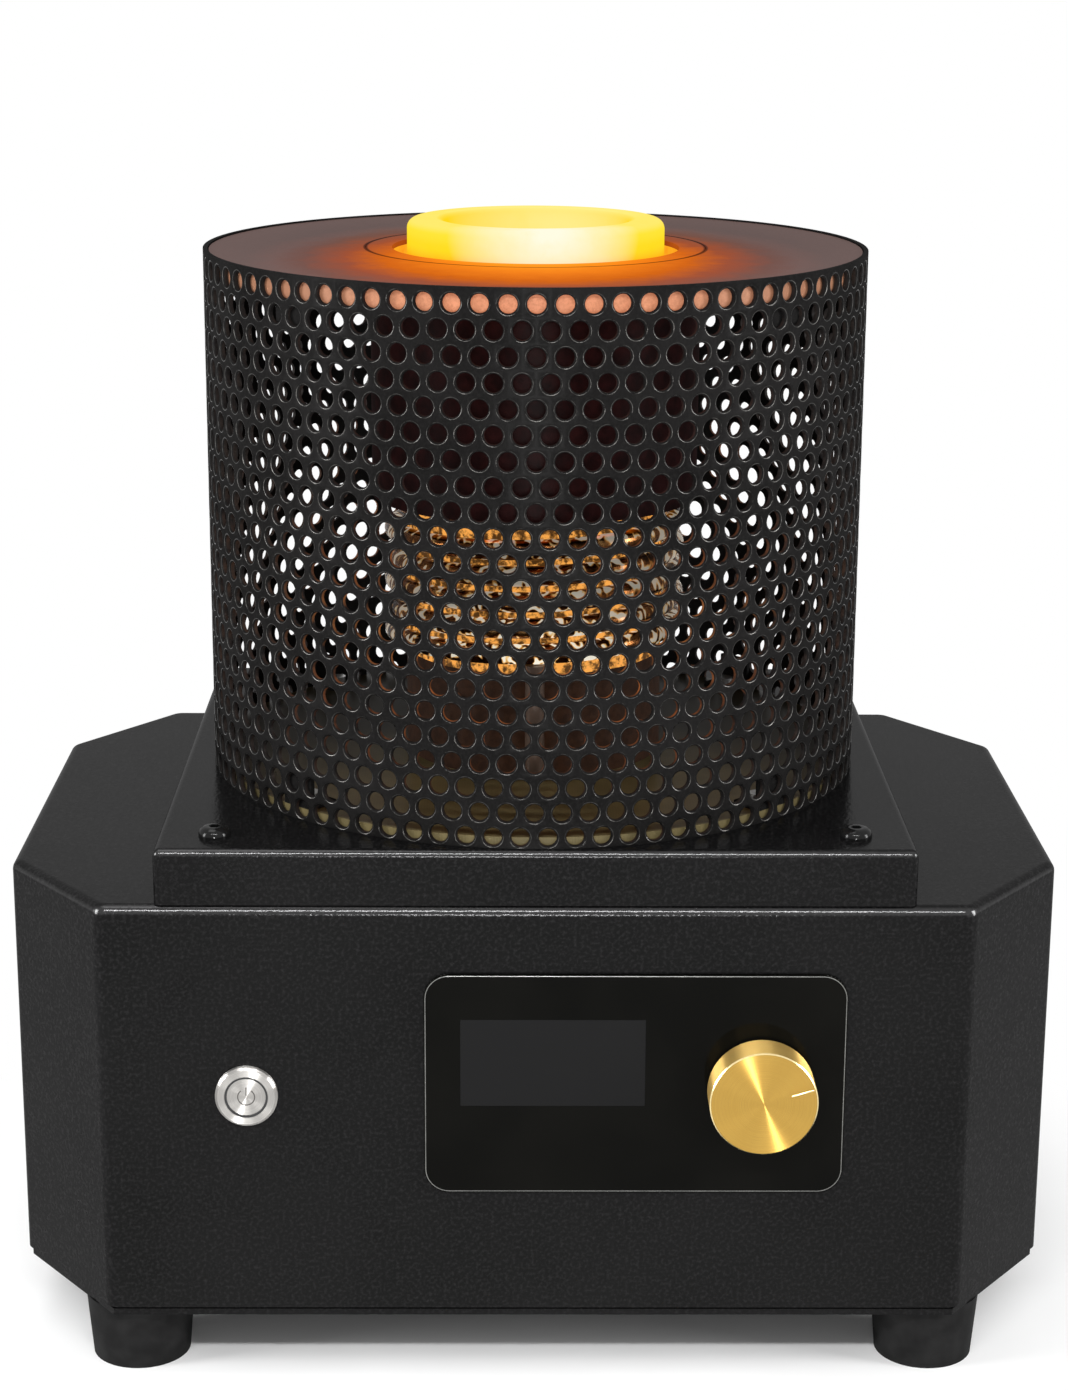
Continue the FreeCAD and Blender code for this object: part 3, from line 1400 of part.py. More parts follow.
def make_encoder():
    """The encoder's housing with its threaded bush, the nut, and the parts that turn and press."""
    corner = ("knob_right - encoder_side / 2", "inner_front", "knob_z - encoder_side / 2")
    housing = block("Encoder_block", ("encoder_side", "control_board_gap", "encoder_side"), corner)
    axis = ("knob_right", "bush_end", "knob_z")
    bush = rod("Encoder_bush", "encoder_bush_dia / 2", "inner_front - bush_end", axis, "y")
    well_deep = "control_front - encoder_floor - bush_end"
    well = rod("Encoder_well", "shaft_dia / 2 + fit_gap", well_deep, axis, "y")
    keep(cut("Encoder", fuse("Encoder_solid", [housing, bush]), [well]), "encoder_body")

    nut_from = "case_front - encoder_nut_thick"
    nut_at = ("knob_right", nut_from, "knob_z")
    nut = hexagon("Encoder_nut_body", "encoder_nut_wide", "encoder_nut_thick", nut_at, "y")
    nut_bore = rod("Encoder_nut_bore", "encoder_bush_dia / 2 + fit_gap", "encoder_nut_thick", nut_at, "y")
    keep(cut("Encoder_nut", nut, [nut_bore]), "encoder_nut")

    rest = "control_front - encoder_floor - knob_press - fit_gap"
    plunger = rod("Plunger", "shaft_dia / 2", "plunger_long",
                  ("knob_right", f"{rest} - plunger_long", "knob_z"), "y")
    keep(gather("Plunger_at", [plunger]), "encoder_plunger")

    shaft_end = f"{rest} - plunger_long - fit_gap"
    shaft_from = "knob_face + knob_wall + fit_gap"
    shaft = rod("Shaft", "shaft_dia / 2", f"{shaft_end} - ({shaft_from})",
                ("knob_right", shaft_from, "knob_z"), "y")
    keep(gather("Shaft_at", [shaft]), "encoder_shaft")


def make_knob():
    """A turned knob: a cup with a boss round the shaft, a bevelled face and a pointer groove."""
    boss = "knob_boss_dia / 2"
    knob = lathe("Knob", [
        ("0", "knob_height - knob_wall"),
        ("shaft_dia / 2 + fit_gap", "knob_height - knob_wall"),
        ("shaft_dia / 2 + fit_gap", "knob_boss_sunk"),
        (boss, "knob_boss_sunk"),
        (boss, "knob_height - knob_wall"),
        ("knob_dia / 2 - knob_wall", "knob_height - knob_wall"),
        ("knob_dia / 2 - knob_wall", "0"),
        ("knob_dia / 2", "0"),
        ("knob_dia / 2", "knob_height"),
        ("0", "knob_height"),
    ])
    bevel_edges(knob, "Knob_bevel", "knob_bevel", lies_at(value_of("knob_height")))
    mark = block("Knob_mark", ("knob_mark_long", "knob_mark_wide", "knob_mark_deep"),
                 ("knob_dia / 2 - knob_bevel - knob_mark_long - knob_mark_inset", "-knob_mark_wide / 2",
                  "knob_height - knob_mark_deep"))
    turned = gather("Knob_mark_turned", [mark])
    turned.Placement = Placement(Vector(), Rotation(Vector(0, 0, 1), SIZES["knob_mark_angle"]))
    grub_hole = rod("Knob_grub_hole", "grub_dia / 2 + fit_gap", "knob_dia / 2",
                    ("0", "0", "knob_height / 2"), "x")
    holed = cut("Knob_cut", knob, [turned, grub_hole])
    facing_front = Rotation(Vector(1, 0, 0), 90)
    keep_at = moved("Knob_at", holed, ("knob_right", "knob_back", "knob_z"), facing_front)
    keep(gather("Knob_whole", [keep_at]), "knob")

    grub = rod("Grub", "grub_dia / 2", "knob_boss_dia / 2 - shaft_dia / 2 - fit_gap",
               ("knob_right + shaft_dia / 2 + fit_gap", "knob_back - knob_height / 2", "knob_z"), "x")
    keep(gather("Grub_at", [grub]), "knob_grub_screw")


def make_button():
    """The push button: bezel with its threaded barrel, nut, cap, return spring and switch."""
    depth = "cap_well_deep"
    shell = lathe("Bezel", [
        ("cap_stem_dia / 2 + fit_gap", f"-({depth})"),
        ("cap_well_dia / 2", f"-({depth})"),
        ("cap_well_dia / 2", "0"),
        ("bezel_dia / 2", "0"),
        ("bezel_dia / 2", "-bezel_tall"),
        ("barrel_dia / 2", "-bezel_tall"),
        ("barrel_dia / 2", "-bezel_tall - barrel_long"),
        ("cap_stem_dia / 2 + fit_gap", "-bezel_tall - barrel_long"),
    ])
    def is_bezel_rim(edge):
        circle = edge.BoundBox
        level = abs(circle.ZMin) < 1e-6 and abs(circle.ZMax) < 1e-6
        return level and abs(circle.XLength - value_of("bezel_dia")) < 1e-6
    bevel_edges(shell, "Bezel_bevel", "bezel_bevel", is_bezel_rim)
    facing_front = Rotation(Vector(1, 0, 0), 90)
    at = ("-button_left", "bezel_face", "button_z")
    keep(gather("Bezel_at", [moved("Bezel_moved", shell, at, facing_front)]), "button_bezel")

    nut_from = "inner_front + fit_gap"
    nut = hexagon("Button_nut_body", "button_nut_wide", "button_nut_thick",
                  ("-button_left", nut_from, "button_z"), "y")
    nut_bore = rod("Button_nut_bore", "barrel_dia / 2 + fit_gap", "button_nut_thick",
                   ("-button_left", nut_from, "button_z"), "y")
    keep(cut("Button_nut", nut, [nut_bore]), "button_nut")

    stem_end = "barrel_back - cap_press - seat_gap"
    cap = rod("Cap_disc", "cap_dia / 2", "cap_thick", ("-button_left", "cap_face", "button_z"), "y")
    stem = rod("Cap_stem", "cap_stem_dia / 2", f"{stem_end} - cap_face",
               ("-button_left", "cap_face", "button_z"), "y")
    keep(fuse("Cap", [cap, stem]), "button_cap")

    switch = rod("Switch", "switch_dia / 2", "switch_deep", ("-button_left", "barrel_back", "button_z"), "y")
    keep(gather("Switch_at", [switch]), "button_switch")


def make_button_spring():
    """The return spring between the well's floor and the cap, with its end turns closed up."""
    wire = value_of("spring_wire")
    radius = (value_of("spring_dia") - wire) / 2
    rest = value_of("well_floor") - value_of("cap_face") - value_of("cap_thick")
    turns = int(value_of("spring_turns"))
    clear = value_of("fit_gap") * 2
    pitch = (rest - wire - 2 * clear) / turns
    edges = wound_path(radius, pitch, wire / 2 + clear, turns, 0)
    spring = doc.addObject("Part::Feature", "Spring")
    spring.Shape = tube_along(edges, wire)
    print("button spring: least gap to itself", round(least_gap(edges, wire), 2), "mm")
    facing_back = Rotation(Vector(1, 0, 0), -90)
    back_of_cap = ("-button_left", "cap_face + cap_thick", "button_z")
    keep(gather("Spring_at", [moved("Spring_moved", spring, back_of_cap, facing_back)]), "button_spring")


def check_everything():
    """Stops if any object failed, or if a sub-part has no valid solid."""
    doc.recompute()
    for item in doc.Objects:
        if "Invalid" in item.State or "Error" in item.State:
            raise RuntimeError(f"{item.Name} failed: {item.State}")
    for piece in subparts:
        shape = piece.Shape
        if shape.isNull() or not shape.isValid() or not shape.Solids:
            raise RuntimeError(f"{piece.Label} has no valid solid")


def write_parts():
    os.makedirs("parts", exist_ok=True)
    for piece in subparts:
        piece.Shape.exportStep(f"parts/{piece.Label}.step")
    print(len(subparts), "sub-parts written")


fill_sizes()
fill_levels()
make_feet()
make_foot_fasteners()
make_base_plate()
make_side_blocks()
make_case()
make_plinth()
make_plinth_fasteners()
make_guard()
make_guard_fasteners()
make_floor()
make_lid()
make_sleeve()
make_collar()
make_crucible()
make_liner()
make_pedestal()
make_coil()
make_coil_standoffs()
make_bushings()
make_capacitor_bank()
make_terminals()
make_inverter()
make_heat_sink()
make_fan()
make_fan_grille()
make_inlet()
make_panel()
make_display()
make_control_board()
make_encoder()
make_knob()
make_button()
make_button_spring()
check_everything()
write_parts()
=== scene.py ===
import math

import bpy
from mathutils import Matrix, Vector


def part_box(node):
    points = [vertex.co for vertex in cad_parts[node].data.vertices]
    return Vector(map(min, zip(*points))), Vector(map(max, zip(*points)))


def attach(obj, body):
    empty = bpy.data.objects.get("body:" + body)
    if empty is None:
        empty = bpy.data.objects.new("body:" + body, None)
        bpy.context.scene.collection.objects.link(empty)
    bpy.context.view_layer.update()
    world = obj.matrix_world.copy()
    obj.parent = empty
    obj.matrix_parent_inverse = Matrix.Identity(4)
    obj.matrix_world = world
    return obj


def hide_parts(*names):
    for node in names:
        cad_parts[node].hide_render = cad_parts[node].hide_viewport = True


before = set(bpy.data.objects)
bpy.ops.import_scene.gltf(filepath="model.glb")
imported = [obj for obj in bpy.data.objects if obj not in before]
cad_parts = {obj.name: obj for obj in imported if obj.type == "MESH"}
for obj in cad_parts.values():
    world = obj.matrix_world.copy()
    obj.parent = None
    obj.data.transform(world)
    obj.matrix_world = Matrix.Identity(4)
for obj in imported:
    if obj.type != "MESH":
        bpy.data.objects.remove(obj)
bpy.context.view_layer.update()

MM = 0.001

# Places and sizes read from the frame


def middle(node):
    low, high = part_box(node)
    return (low + high) / 2


GUARD_LOW, GUARD_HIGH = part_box("perforated_guard")
AXIS = Vector(((GUARD_LOW.x + GUARD_HIGH.x) / 2, (GUARD_LOW.y + GUARD_HIGH.y) / 2, 0))
GUARD_RADIUS = (GUARD_HIGH.x - GUARD_LOW.x) / 2
GUARD_BOTTOM = GUARD_LOW.z
GUARD_TOP = GUARD_HIGH.z
GUARD_WALL = 1.5 * MM

PANEL_LOW, PANEL_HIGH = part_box("control_panel")
SCREEN_LOW, SCREEN_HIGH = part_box("screen_window")
KNOB_LOW, KNOB_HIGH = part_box("knob")
CAP_LOW, CAP_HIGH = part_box("button_cap")
BEZEL_LOW, BEZEL_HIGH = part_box("button_bezel")
CRUCIBLE_LOW, CRUCIBLE_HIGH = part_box("crucible")
COLLAR_LOW, COLLAR_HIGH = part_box("collar_ring")
LID_LOW, LID_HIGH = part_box("lid_plate")

COAL = (0.0045, 0.0044, 0.0045)


# Materials: small helpers over the node tree


class Surface:
    """A material with a principled shader and object coordinates, in metres."""

    def __init__(self, name, roughness=0.5, metallic=0.0, **constants):
        self.material = bpy.data.materials.new(name)
        self.material.use_nodes = True
        self.tree = self.material.node_tree
        self.shader = self.tree.nodes["Principled BSDF"]
        self.shader.inputs["Roughness"].default_value = roughness
        self.shader.inputs["Metallic"].default_value = metallic
        for socket, value in constants.items():
            self.shader.inputs[socket.replace("_", " ")].default_value = value
        self.coordinates = self.node("ShaderNodeTexCoord").outputs["Object"]
        self.height = None

    def node(self, kind, **settings):
        made = self.tree.nodes.new(kind)
        for key, value in settings.items():
            setattr(made, key, value)
        return made

    def link(self, source, target):
        self.tree.links.new(source, target)

    def noise(self, grain, detail=4.0, roughness=0.55, distortion=0.0, stretch=None):
        """Noise whose lumps are about as large as grain, in metres."""
        made = self.node("ShaderNodeTexNoise")
        made.inputs["Scale"].default_value = 1 / grain
        made.inputs["Detail"].default_value = detail
        made.inputs["Roughness"].default_value = roughness
        made.inputs["Distortion"].default_value = distortion
        source = self.coordinates
        if stretch:
            source = self.scaled(stretch)
        self.link(source, made.inputs["Vector"])
        return made.outputs["Fac"]

    def cells(self, grain):
        made = self.node("ShaderNodeTexVoronoi", feature="SMOOTH_F1")
        made.inputs["Scale"].default_value = 1 / grain
        made.inputs["Smoothness"].default_value = 1.0
        self.link(self.coordinates, made.inputs["Vector"])
        return made.outputs["Distance"]

    def scaled(self, factors):
        made = self.node("ShaderNodeMapping")
        made.inputs["Scale"].default_value = factors
        self.link(self.coordinates, made.inputs["Vector"])
        return made.outputs["Vector"]

    def ramp(self, factor, *stops, smooth=True):
        """Colours at positions, each stop being (position, colour)."""
        made = self.node("ShaderNodeValToRGB")
        made.color_ramp.interpolation = "EASE" if smooth else "LINEAR"
        elements = made.color_ramp.elements
        while len(elements) < len(stops):
            elements.new(0.5)
        for element, (position, colour) in zip(elements, stops):
            element.position = position
            element.color = (*colour, 1)
        self.link(factor, made.inputs["Fac"])
        return made.outputs["Color"]

    def spread(self, factor, low, high, start=0.0, end=1.0):
        """Maps a factor from start..end to low..high."""
        made = self.node("ShaderNodeMapRange")
        made.inputs["From Min"].default_value = start
        made.inputs["From Max"].default_value = end
        made.inputs["To Min"].default_value = low
        made.inputs["To Max"].default_value = high
        self.link(factor, made.inputs["Value"])
        return made.outputs["Result"]

    def maths(self, operation, first, second=None):
        made = self.node("ShaderNodeMath", operation=operation)
        for socket, value in zip(made.inputs, (first, second)):
            if value is None:
                continue
            if isinstance(value, (int, float)):
                socket.default_value = value
            else:
                self.link(value, socket)
        return made.outputs["Value"]

    def mix(self, factor, first, second, blend="MIX"):
        made = self.node("ShaderNodeMix", data_type="RGBA", blend_type=blend)
        for name, value in (("Factor", factor), ("A", first), ("B", second)):
            socket = next(s for s in made.inputs if s.name == name and s.enabled)
            if isinstance(value, tuple):
                socket.default_value = (*value, 1)
            elif isinstance(value, (int, float)):
                socket.default_value = value
            else:
                self.link(value, socket)
        return next(s for s in made.outputs if s.enabled)

    def distance_from(self, point, weights=(1, 1, 1)):
        """The distance from a point, counting each axis by its weight."""
        shifted = self.node("ShaderNodeVectorMath", operation="SUBTRACT")
        shifted.inputs[1].default_value = point
        self.link(self.coordinates, shifted.inputs[0])
        weighed = self.node("ShaderNodeVectorMath", operation="MULTIPLY")
        weighed.inputs[1].default_value = weights
        self.link(shifted.outputs["Vector"], weighed.inputs[0])
        length = self.node("ShaderNodeVectorMath", operation="LENGTH")
        self.link(weighed.outputs["Vector"], length.inputs[0])
        return length.outputs["Value"]

    def level(self):
        """The height above the bench."""
        parts = self.node("ShaderNodeSeparateXYZ")
        self.link(self.coordinates, parts.inputs["Vector"])
        return parts.outputs["Z"]

    def colour(self, source):
        self.link(source, self.shader.inputs["Base Color"])
        return self

    def rough(self, source):
        self.link(source, self.shader.inputs["Roughness"])
        return self

    def glow(self, colour, strength):
        self.link(colour, self.shader.inputs["Emission Color"])
        if isinstance(strength, (int, float)):
            self.shader.inputs["Emission Strength"].default_value = strength
        else:
            self.link(strength, self.shader.inputs["Emission Strength"])
        return self

    def relief(self, height, depth, strength=1.0, coat=False):
        """Adds a bump of a depth in metres over what is already there."""
        made = self.node("ShaderNodeBump")
        made.inputs["Strength"].default_value = strength
        made.inputs["Distance"].default_value = depth
        self.link(height, made.inputs["Height"])
        if self.height is not None:
            self.link(self.height, made.inputs["Normal"])
        self.height = made.outputs["Normal"]
        self.link(self.height, self.shader.inputs["Normal"])
        if coat:
            self.link(self.height, self.shader.inputs["Coat Normal"])
        return self


def shade(colour, factor):
    return tuple(min(1.0, part * factor) for part in colour)


def thin_gloss(weight, roughness):
    """Gloss from a thin clear coat alone, so that black stays black at a low angle."""
    return {"Specular_IOR_Level": 0.0, "Coat_Weight": weight, "Coat_Roughness": roughness}


def mottled(name, colour, roughness, metallic=0.0, grain=4 * MM, contrast=0.2, depth=0.0, fine=0.5 * MM,
            **constants):
    """A plain finish with slight changes of tone and gloss, and a fine grain."""
    made = Surface(name, roughness, metallic, **constants)
    patches = made.noise(grain, detail=5)
    made.colour(made.ramp(patches, (0.3, shade(colour, 1 - contrast)), (0.7, shade(colour, 1 + contrast))))
    made.rough(made.spread(made.noise(grain / 3), roughness * 0.85, min(1.0, roughness * 1.15), 0.3, 0.7))
    if depth:
        made.relief(made.noise(fine, detail=3), depth)
    return made


def powder_coat(name, colour, roughness, depth):
    """Black powder coat: soft cells about a millimetre wide under a finer grain, glossier on the front bends."""
    made = Surface(name, roughness, **thin_gloss(0.19, 0.16))
    cells = made.cells(1.0 * MM)
    lumps = made.noise(1.1 * MM, detail=6, roughness=0.6)
    broad = made.noise(60 * MM, detail=3)
    tone = made.ramp(broad, (0.3, shade(colour, 0.85)), (0.7, shade(colour, 1.2)))
    made.colour(made.mix(made.spread(lumps, 0.0, 0.8, 0.48, 0.7), tone, shade(colour, 3.4)))
    made.rough(made.spread(lumps, roughness * 0.86, roughness * 1.16, 0.3, 0.7))
    made.relief(cells, depth, coat=True)
    made.relief(lumps, depth * 0.9, coat=True)
    facing = made.node("ShaderNodeSeparateXYZ")
    made.link(made.node("ShaderNodeTexCoord").outputs["Normal"], facing.inputs["Vector"])
    bend = made.maths("ABSOLUTE", made.maths("SUBTRACT", facing.outputs["Z"], 0.55))
    front = made.spread(facing.outputs["Y"], 1.0, 0.0, -0.7, -0.45)
    worn = made.maths("MULTIPLY", front, made.spread(bend, 1.0, 0.0, 0.25, 0.42))
    made.link(made.spread(worn, 0.19, 1.0), made.shader.inputs["Coat Weight"])
    return made


def guard_coat(name):
    """Satin charcoal coat on the punched sheet, a little worn to grey at random."""
    made = Surface(name, 0.5, **thin_gloss(0.03, 0.3))
    broad = made.noise(35 * MM, detail=4)
    fine = made.noise(0.8 * MM, detail=4, roughness=0.7)
    base = made.ramp(broad, (0.3, (0.0055, 0.0053, 0.0052)), (0.7, (0.0095, 0.0091, 0.009)))
    made.colour(made.mix(made.spread(fine, 0.0, 0.35, 0.45, 0.75), base, (0.022, 0.021, 0.0205)))
    made.rough(made.spread(fine, 0.42, 0.6, 0.3, 0.7))
    made.relief(fine, 0.03 * MM, 0.7)
    return made


def hole_lips(name):
    """The rounded lips of the punched holes, where the coat is thin and the steel shines through."""
    made = Surface(name, 0.3, 1.0)
    worn = made.noise(2.2 * MM, detail=4, roughness=0.6)
    made.colour(made.ramp(worn, (0.35, (0.015, 0.0145, 0.014)), (0.75, (0.11, 0.106, 0.1))))
    made.rough(made.spread(worn, 0.22, 0.4, 0.3, 0.7))
    return made


def hole_walls(name):
    """The cut walls of the holes, with a painted orange glow beside the coil: emission standing in for the heat's
    orange light that they catch, fading to the left and right.
    """
    made = Surface(name, 0.6, **thin_gloss(0.1, 0.4))
    patches = made.noise(6 * MM, detail=3)
    made.colour(made.ramp(patches, (0.3, (0.01, 0.009, 0.009)), (0.7, (0.02, 0.016, 0.014))))
    low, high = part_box("induction_coil")
    top = high.z
    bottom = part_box("crucible_pedestal")[1].z
    up = made.spread(made.level(), 0.0, 1.0, bottom - 24 * MM, top + 14 * MM)
    painted_coil_light = made.ramp(up, (0.0, (0.02, 0.006, 0.002)), (0.35, (0.3, 0.08, 0.015)), (0.6, (0.5, 0.17, 0.04)),
                     (0.85, (0.3, 0.08, 0.015)), (1.0, (0.02, 0.002, 0.002)))
    painted_light_reach = made.spread(made.distance_from(AXIS, (1, 0, 0)), 1.0, 0.05, 35 * MM, 80 * MM)
    # Painted light: the glow is emission, patchy and fading to the sides, standing in for the coil's light.
    made.glow(painted_coil_light, made.maths("MULTIPLY", painted_light_reach, made.spread(patches, 0.0, 0.75, 0.42, 0.68)))
    return made


def scorched_with_painted_glow(name, colour, heat, rim=None):
    """Scorched plate round the mouth, grey-brown at its rim, with a painted orange glow at its inner edge: emission
    centred towards the front, standing in for the crucible's light; painted shade darkens the skirt's rim away from
    it, and a painted shadow line marks the gap at the collar.
    """
    made = Surface(name, 0.55, **thin_gloss(0.12, 0.35))
    # The centre of the painted glow, 30 mm towards the front of the axis.
    painted_glow_centre = AXIS + Vector((0, -30 * MM, 0))
    reach = made.distance_from(AXIS, (1, 1, 0))
    spots = made.noise(9 * MM, detail=6, roughness=0.65)
    drift = made.spread(spots, -3 * MM, 3 * MM, 0.3, 0.7)
    across = made.spread(made.maths("ADD", reach, drift), 0.0, 1.0, 0.0447, 0.101)
    grain = made.noise(0.9 * MM, detail=5, roughness=0.7)
    tone = made.ramp(across, (0.0, (0.1, 0.04, 0.02)), (0.5, shade(colour, 0.85)), (1.0, colour))
    tone = made.mix(made.spread(grain, 0.0, 0.35, 0.4, 0.8), tone, shade(colour, 1.5))
    # Painted shadow: a thin dark line at the gap round the collar, where the painted glow is also dimmed.
    painted_gap_shadow = made.spread(made.maths("ABSOLUTE", made.maths("SUBTRACT", reach, 0.0529)), 1.0, 0.0, 0.0004, 0.0009)
    painted_glow_reach = made.maths("ADD", made.distance_from(painted_glow_centre, (1.2, 1, 0)), drift)
    away = made.spread(painted_glow_reach, 0.0, 1.0, 0.055, 0.095)
    # Under the painted glow the base turns dark red towards its centre.
    tone = made.mix(away, (0.06, 0.012, 0.001), tone)
    tone = made.mix(painted_gap_shadow, tone, (0.004, 0.002, 0.001))
    if rim:
        below = made.spread(made.level(), 1.0, 0.0, LID_HIGH.z - 1.0 * MM, LID_HIGH.z - 0.6 * MM)
        fired = made.mix(made.spread(grain, 0.0, 0.7, 0.4, 0.65), rim, shade(rim, 0.45))
        # Painted shade: the skirt's rim darkens away from the painted glow's centre.
        tone = made.mix(below, tone, made.mix(away, fired, shade(rim, 0.4)))
    made.colour(tone)
    made.link(made.spread(away, 0.015, 0.16), made.shader.inputs["Coat Weight"])
    # Painted light: an orange emission fading out from the glow's centre.
    painted_lid_glow = made.ramp(made.spread(painted_glow_reach, 0.0, 1.0, 0.02, 0.105),
                       (0.0, (1.0, 0.3, 0.012)), (0.22, (0.8, 0.19, 0.008)), (0.4, (0.6, 0.12, 0.005)),
                       (0.58, (0.24, 0.036, 0.004)), (0.76, (0.05, 0.008, 0.002)), (1.0, (0.0, 0.0, 0.0)),
                       smooth=False)
    made.glow(painted_lid_glow, made.maths("MULTIPLY", made.spread(painted_gap_shadow, 1.0, 0.3), heat))
    made.rough(made.spread(grain, 0.45, 0.68, 0.3, 0.7))
    made.relief(grain, 0.03 * MM, 0.7)
    return made


def crucible_glow():
    """Clay at melting heat, glowing by its own emission: golden inside, yellow at the rim, with a painted near-white
    glare at the front lip and a painted brighter patch on the far inner wall where the melt lights it.
    """
    made = Surface("crucible_glow", 0.8, Specular_IOR_Level=0.0)
    level = made.level()
    reach = made.distance_from(AXIS, (1, 1, 0))
    patches = made.noise(8 * MM, detail=5, roughness=0.6)
    up = made.spread(level, 0.0, 1.0, CRUCIBLE_HIGH.z - 26 * MM, CRUCIBLE_HIGH.z)
    outside = made.ramp(up, (0.0, (1.0, 0.2, 0.004)), (0.55, (1.0, 0.42, 0.006)), (0.75, (0.97, 0.7, 0.009)),
                        (0.9, (0.97, 0.76, 0.03)), (1.0, (0.98, 0.81, 0.15)))
    deep = made.spread(level, 0.0, 1.0, CRUCIBLE_LOW.z, CRUCIBLE_HIGH.z - 2 * MM)
    inside = made.ramp(deep, (0.0, (1.0, 0.9, 0.5)), (0.6, (1.0, 0.8, 0.1)), (1.0, (0.99, 0.66, 0.004)))
    inward = made.spread(reach, 1.0, 0.0, 0.0285, 0.031)
    hot = made.mix(inward, outside, inside)
    # Painted glare: a near-white patch at the front lip.
    lip = AXIS + Vector((3 * MM, -36 * MM, CRUCIBLE_HIGH.z - 2 * MM))
    glare = made.spread(made.distance_from(lip, (0.8, 1, 1.2)), 1.0, 0.0, 4 * MM, 25 * MM)
    hot = made.mix(made.maths("MULTIPLY", glare, 0.92), hot, (1.0, 0.96, 0.82))
    # Painted highlight: a brighter yellow patch on the far inner wall.
    far_wall = AXIS + Vector((5 * MM, 20 * MM, CRUCIBLE_HIGH.z - 5 * MM))
    shine = made.spread(made.distance_from(far_wall, (0.6, 0.7, 1.4)), 0.7, 0.0, 3 * MM, 22 * MM)
    hot = made.mix(shine, hot, (1.0, 0.92, 0.4))
    hot = made.mix(made.spread(patches, 0.0, 0.16, 0.45, 0.75), hot, (1.0, 0.6, 0.01))
    made.glow(hot, 1.0)
    made.colour(made.ramp(patches, (0.3, (0.03, 0.018, 0.006)), (0.7, (0.05, 0.03, 0.01))))
    made.relief(patches, 0.12 * MM)
    return made


def glowing_clay(name, colour, ember, strength, grain=3 * MM, cold=0.6):
    """Refractory clay that gives back some of the crucible's heat, less so in its cold patches."""
    made = Surface(name, 0.85, Specular_IOR_Level=0.2)
    patches = made.noise(grain, detail=6, roughness=0.65)
    made.colour(made.ramp(patches, (0.3, shade(colour, 0.7)), (0.7, shade(colour, 1.25))))
    made.glow(made.ramp(patches, (0.42, shade(ember, cold)), (0.58, ember)), strength)
    made.relief(patches, 0.2 * MM)
    return made


def sleeve_clay():
    """Dark fired sleeve with a painted orange glow on the inner face towards the crucible: emission standing in for
    the crucible's light on it, stronger towards the top.
    """
    made = Surface("sleeve_clay", 0.8, **thin_gloss(0.08, 0.4))
    reach = made.distance_from(AXIS, (1, 1, 0))
    level = made.level()
    patches = made.noise(5 * MM, detail=6, roughness=0.65)
    made.colour(made.ramp(patches, (0.3, (0.006, 0.0015, 0.0015)), (0.7, (0.018, 0.004, 0.004))))
    inside = made.spread(reach, 1.0, 0.0, 0.0462, 0.0475)
    up = made.spread(level, 0.35, 1.0, CRUCIBLE_HIGH.z - 60 * MM, CRUCIBLE_HIGH.z - 15 * MM)
    # Painted light: emission on the inner face, standing in for the crucible's light.
    made.glow(made.ramp(patches, (0.2, (1.0, 0.3, 0.01)), (0.8, (1.0, 0.48, 0.02))),
              made.maths("MULTIPLY", inside, up))
    made.relief(patches, 0.2 * MM)
    return made


def drawn_copper():
    """The coil's bright tube: tinted by heat in patches, with painted glints, emission patches standing in for the
    melt's light reflected in it, strongest at the coil's front.
    """
    made = Surface("drawn_copper", 0.17, 1.0)
    film = made.noise(7 * MM, detail=4)
    made.colour(made.ramp(film, (0.35, (0.02, 0.008, 0.003)), (0.55, (0.16, 0.06, 0.018)), (0.75, (0.6, 0.36, 0.14))))
    made.rough(made.spread(made.noise(2.5 * MM), 0.12, 0.26, 0.3, 0.7))
    # Painted glints: emission patches standing in for reflected light, strongest at the coil's front.
    painted_glint_noise = made.noise(3.4 * MM, detail=0.4, distortion=0.7, stretch=(1.3, 1.3, 0.7))
    painted_glints = made.ramp(painted_glint_noise, (0.49, (0.0, 0.0, 0.0)), (0.53, (0.5, 0.21, 0.045)), (0.56, (1.0, 0.66, 0.27)),
                       (0.6, (1.0, 0.94, 0.78)))
    low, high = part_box("induction_coil")
    front = Vector((AXIS.x, low.y, (low.z + high.z) / 2))
    painted_light_reach = made.spread(made.distance_from(front, (1, 0.6, 0.9)), 1.35, 0.25, 20 * MM, 56 * MM)
    made.glow(painted_glints, painted_light_reach)
    return made


def laminate(name, colour, roughness=0.45, unshaded_place=None):
    """Woven laminate board: crossed threads under a resin skin, with painted shade darkening it away from a given
    place.
    """
    made = Surface(name, roughness, **thin_gloss(0.3, 0.3))
    waves = []
    for direction in ("X", "Y"):
        thread = made.node("ShaderNodeTexWave", bands_direction=direction)
        thread.inputs["Scale"].default_value = 1 / (0.9 * MM) / 3
        thread.inputs["Distortion"].default_value = 0.6
        made.link(made.coordinates, thread.inputs["Vector"])
        waves.append(thread.outputs["Fac"])
    weave = made.maths("MULTIPLY", waves[0], waves[1])
    stain = made.noise(18 * MM, detail=4)
    tone = made.ramp(stain, (0.3, shade(colour, 0.8)), (0.7, shade(colour, 1.15)))
    tone = made.mix(made.spread(weave, 0.0, 0.3), tone, shade(colour, 0.6))
    if unshaded_place:
        # Painted shade: darker away from the given place.
        painted_shade = made.spread(made.distance_from(unshaded_place, (1, 1, 0)), 0.0, 0.9, 70 * MM, 130 * MM)
        tone = made.mix(painted_shade, tone, (0.006, 0.005, 0.004))
    made.colour(tone)
    made.relief(weave, 0.03 * MM)
    return made


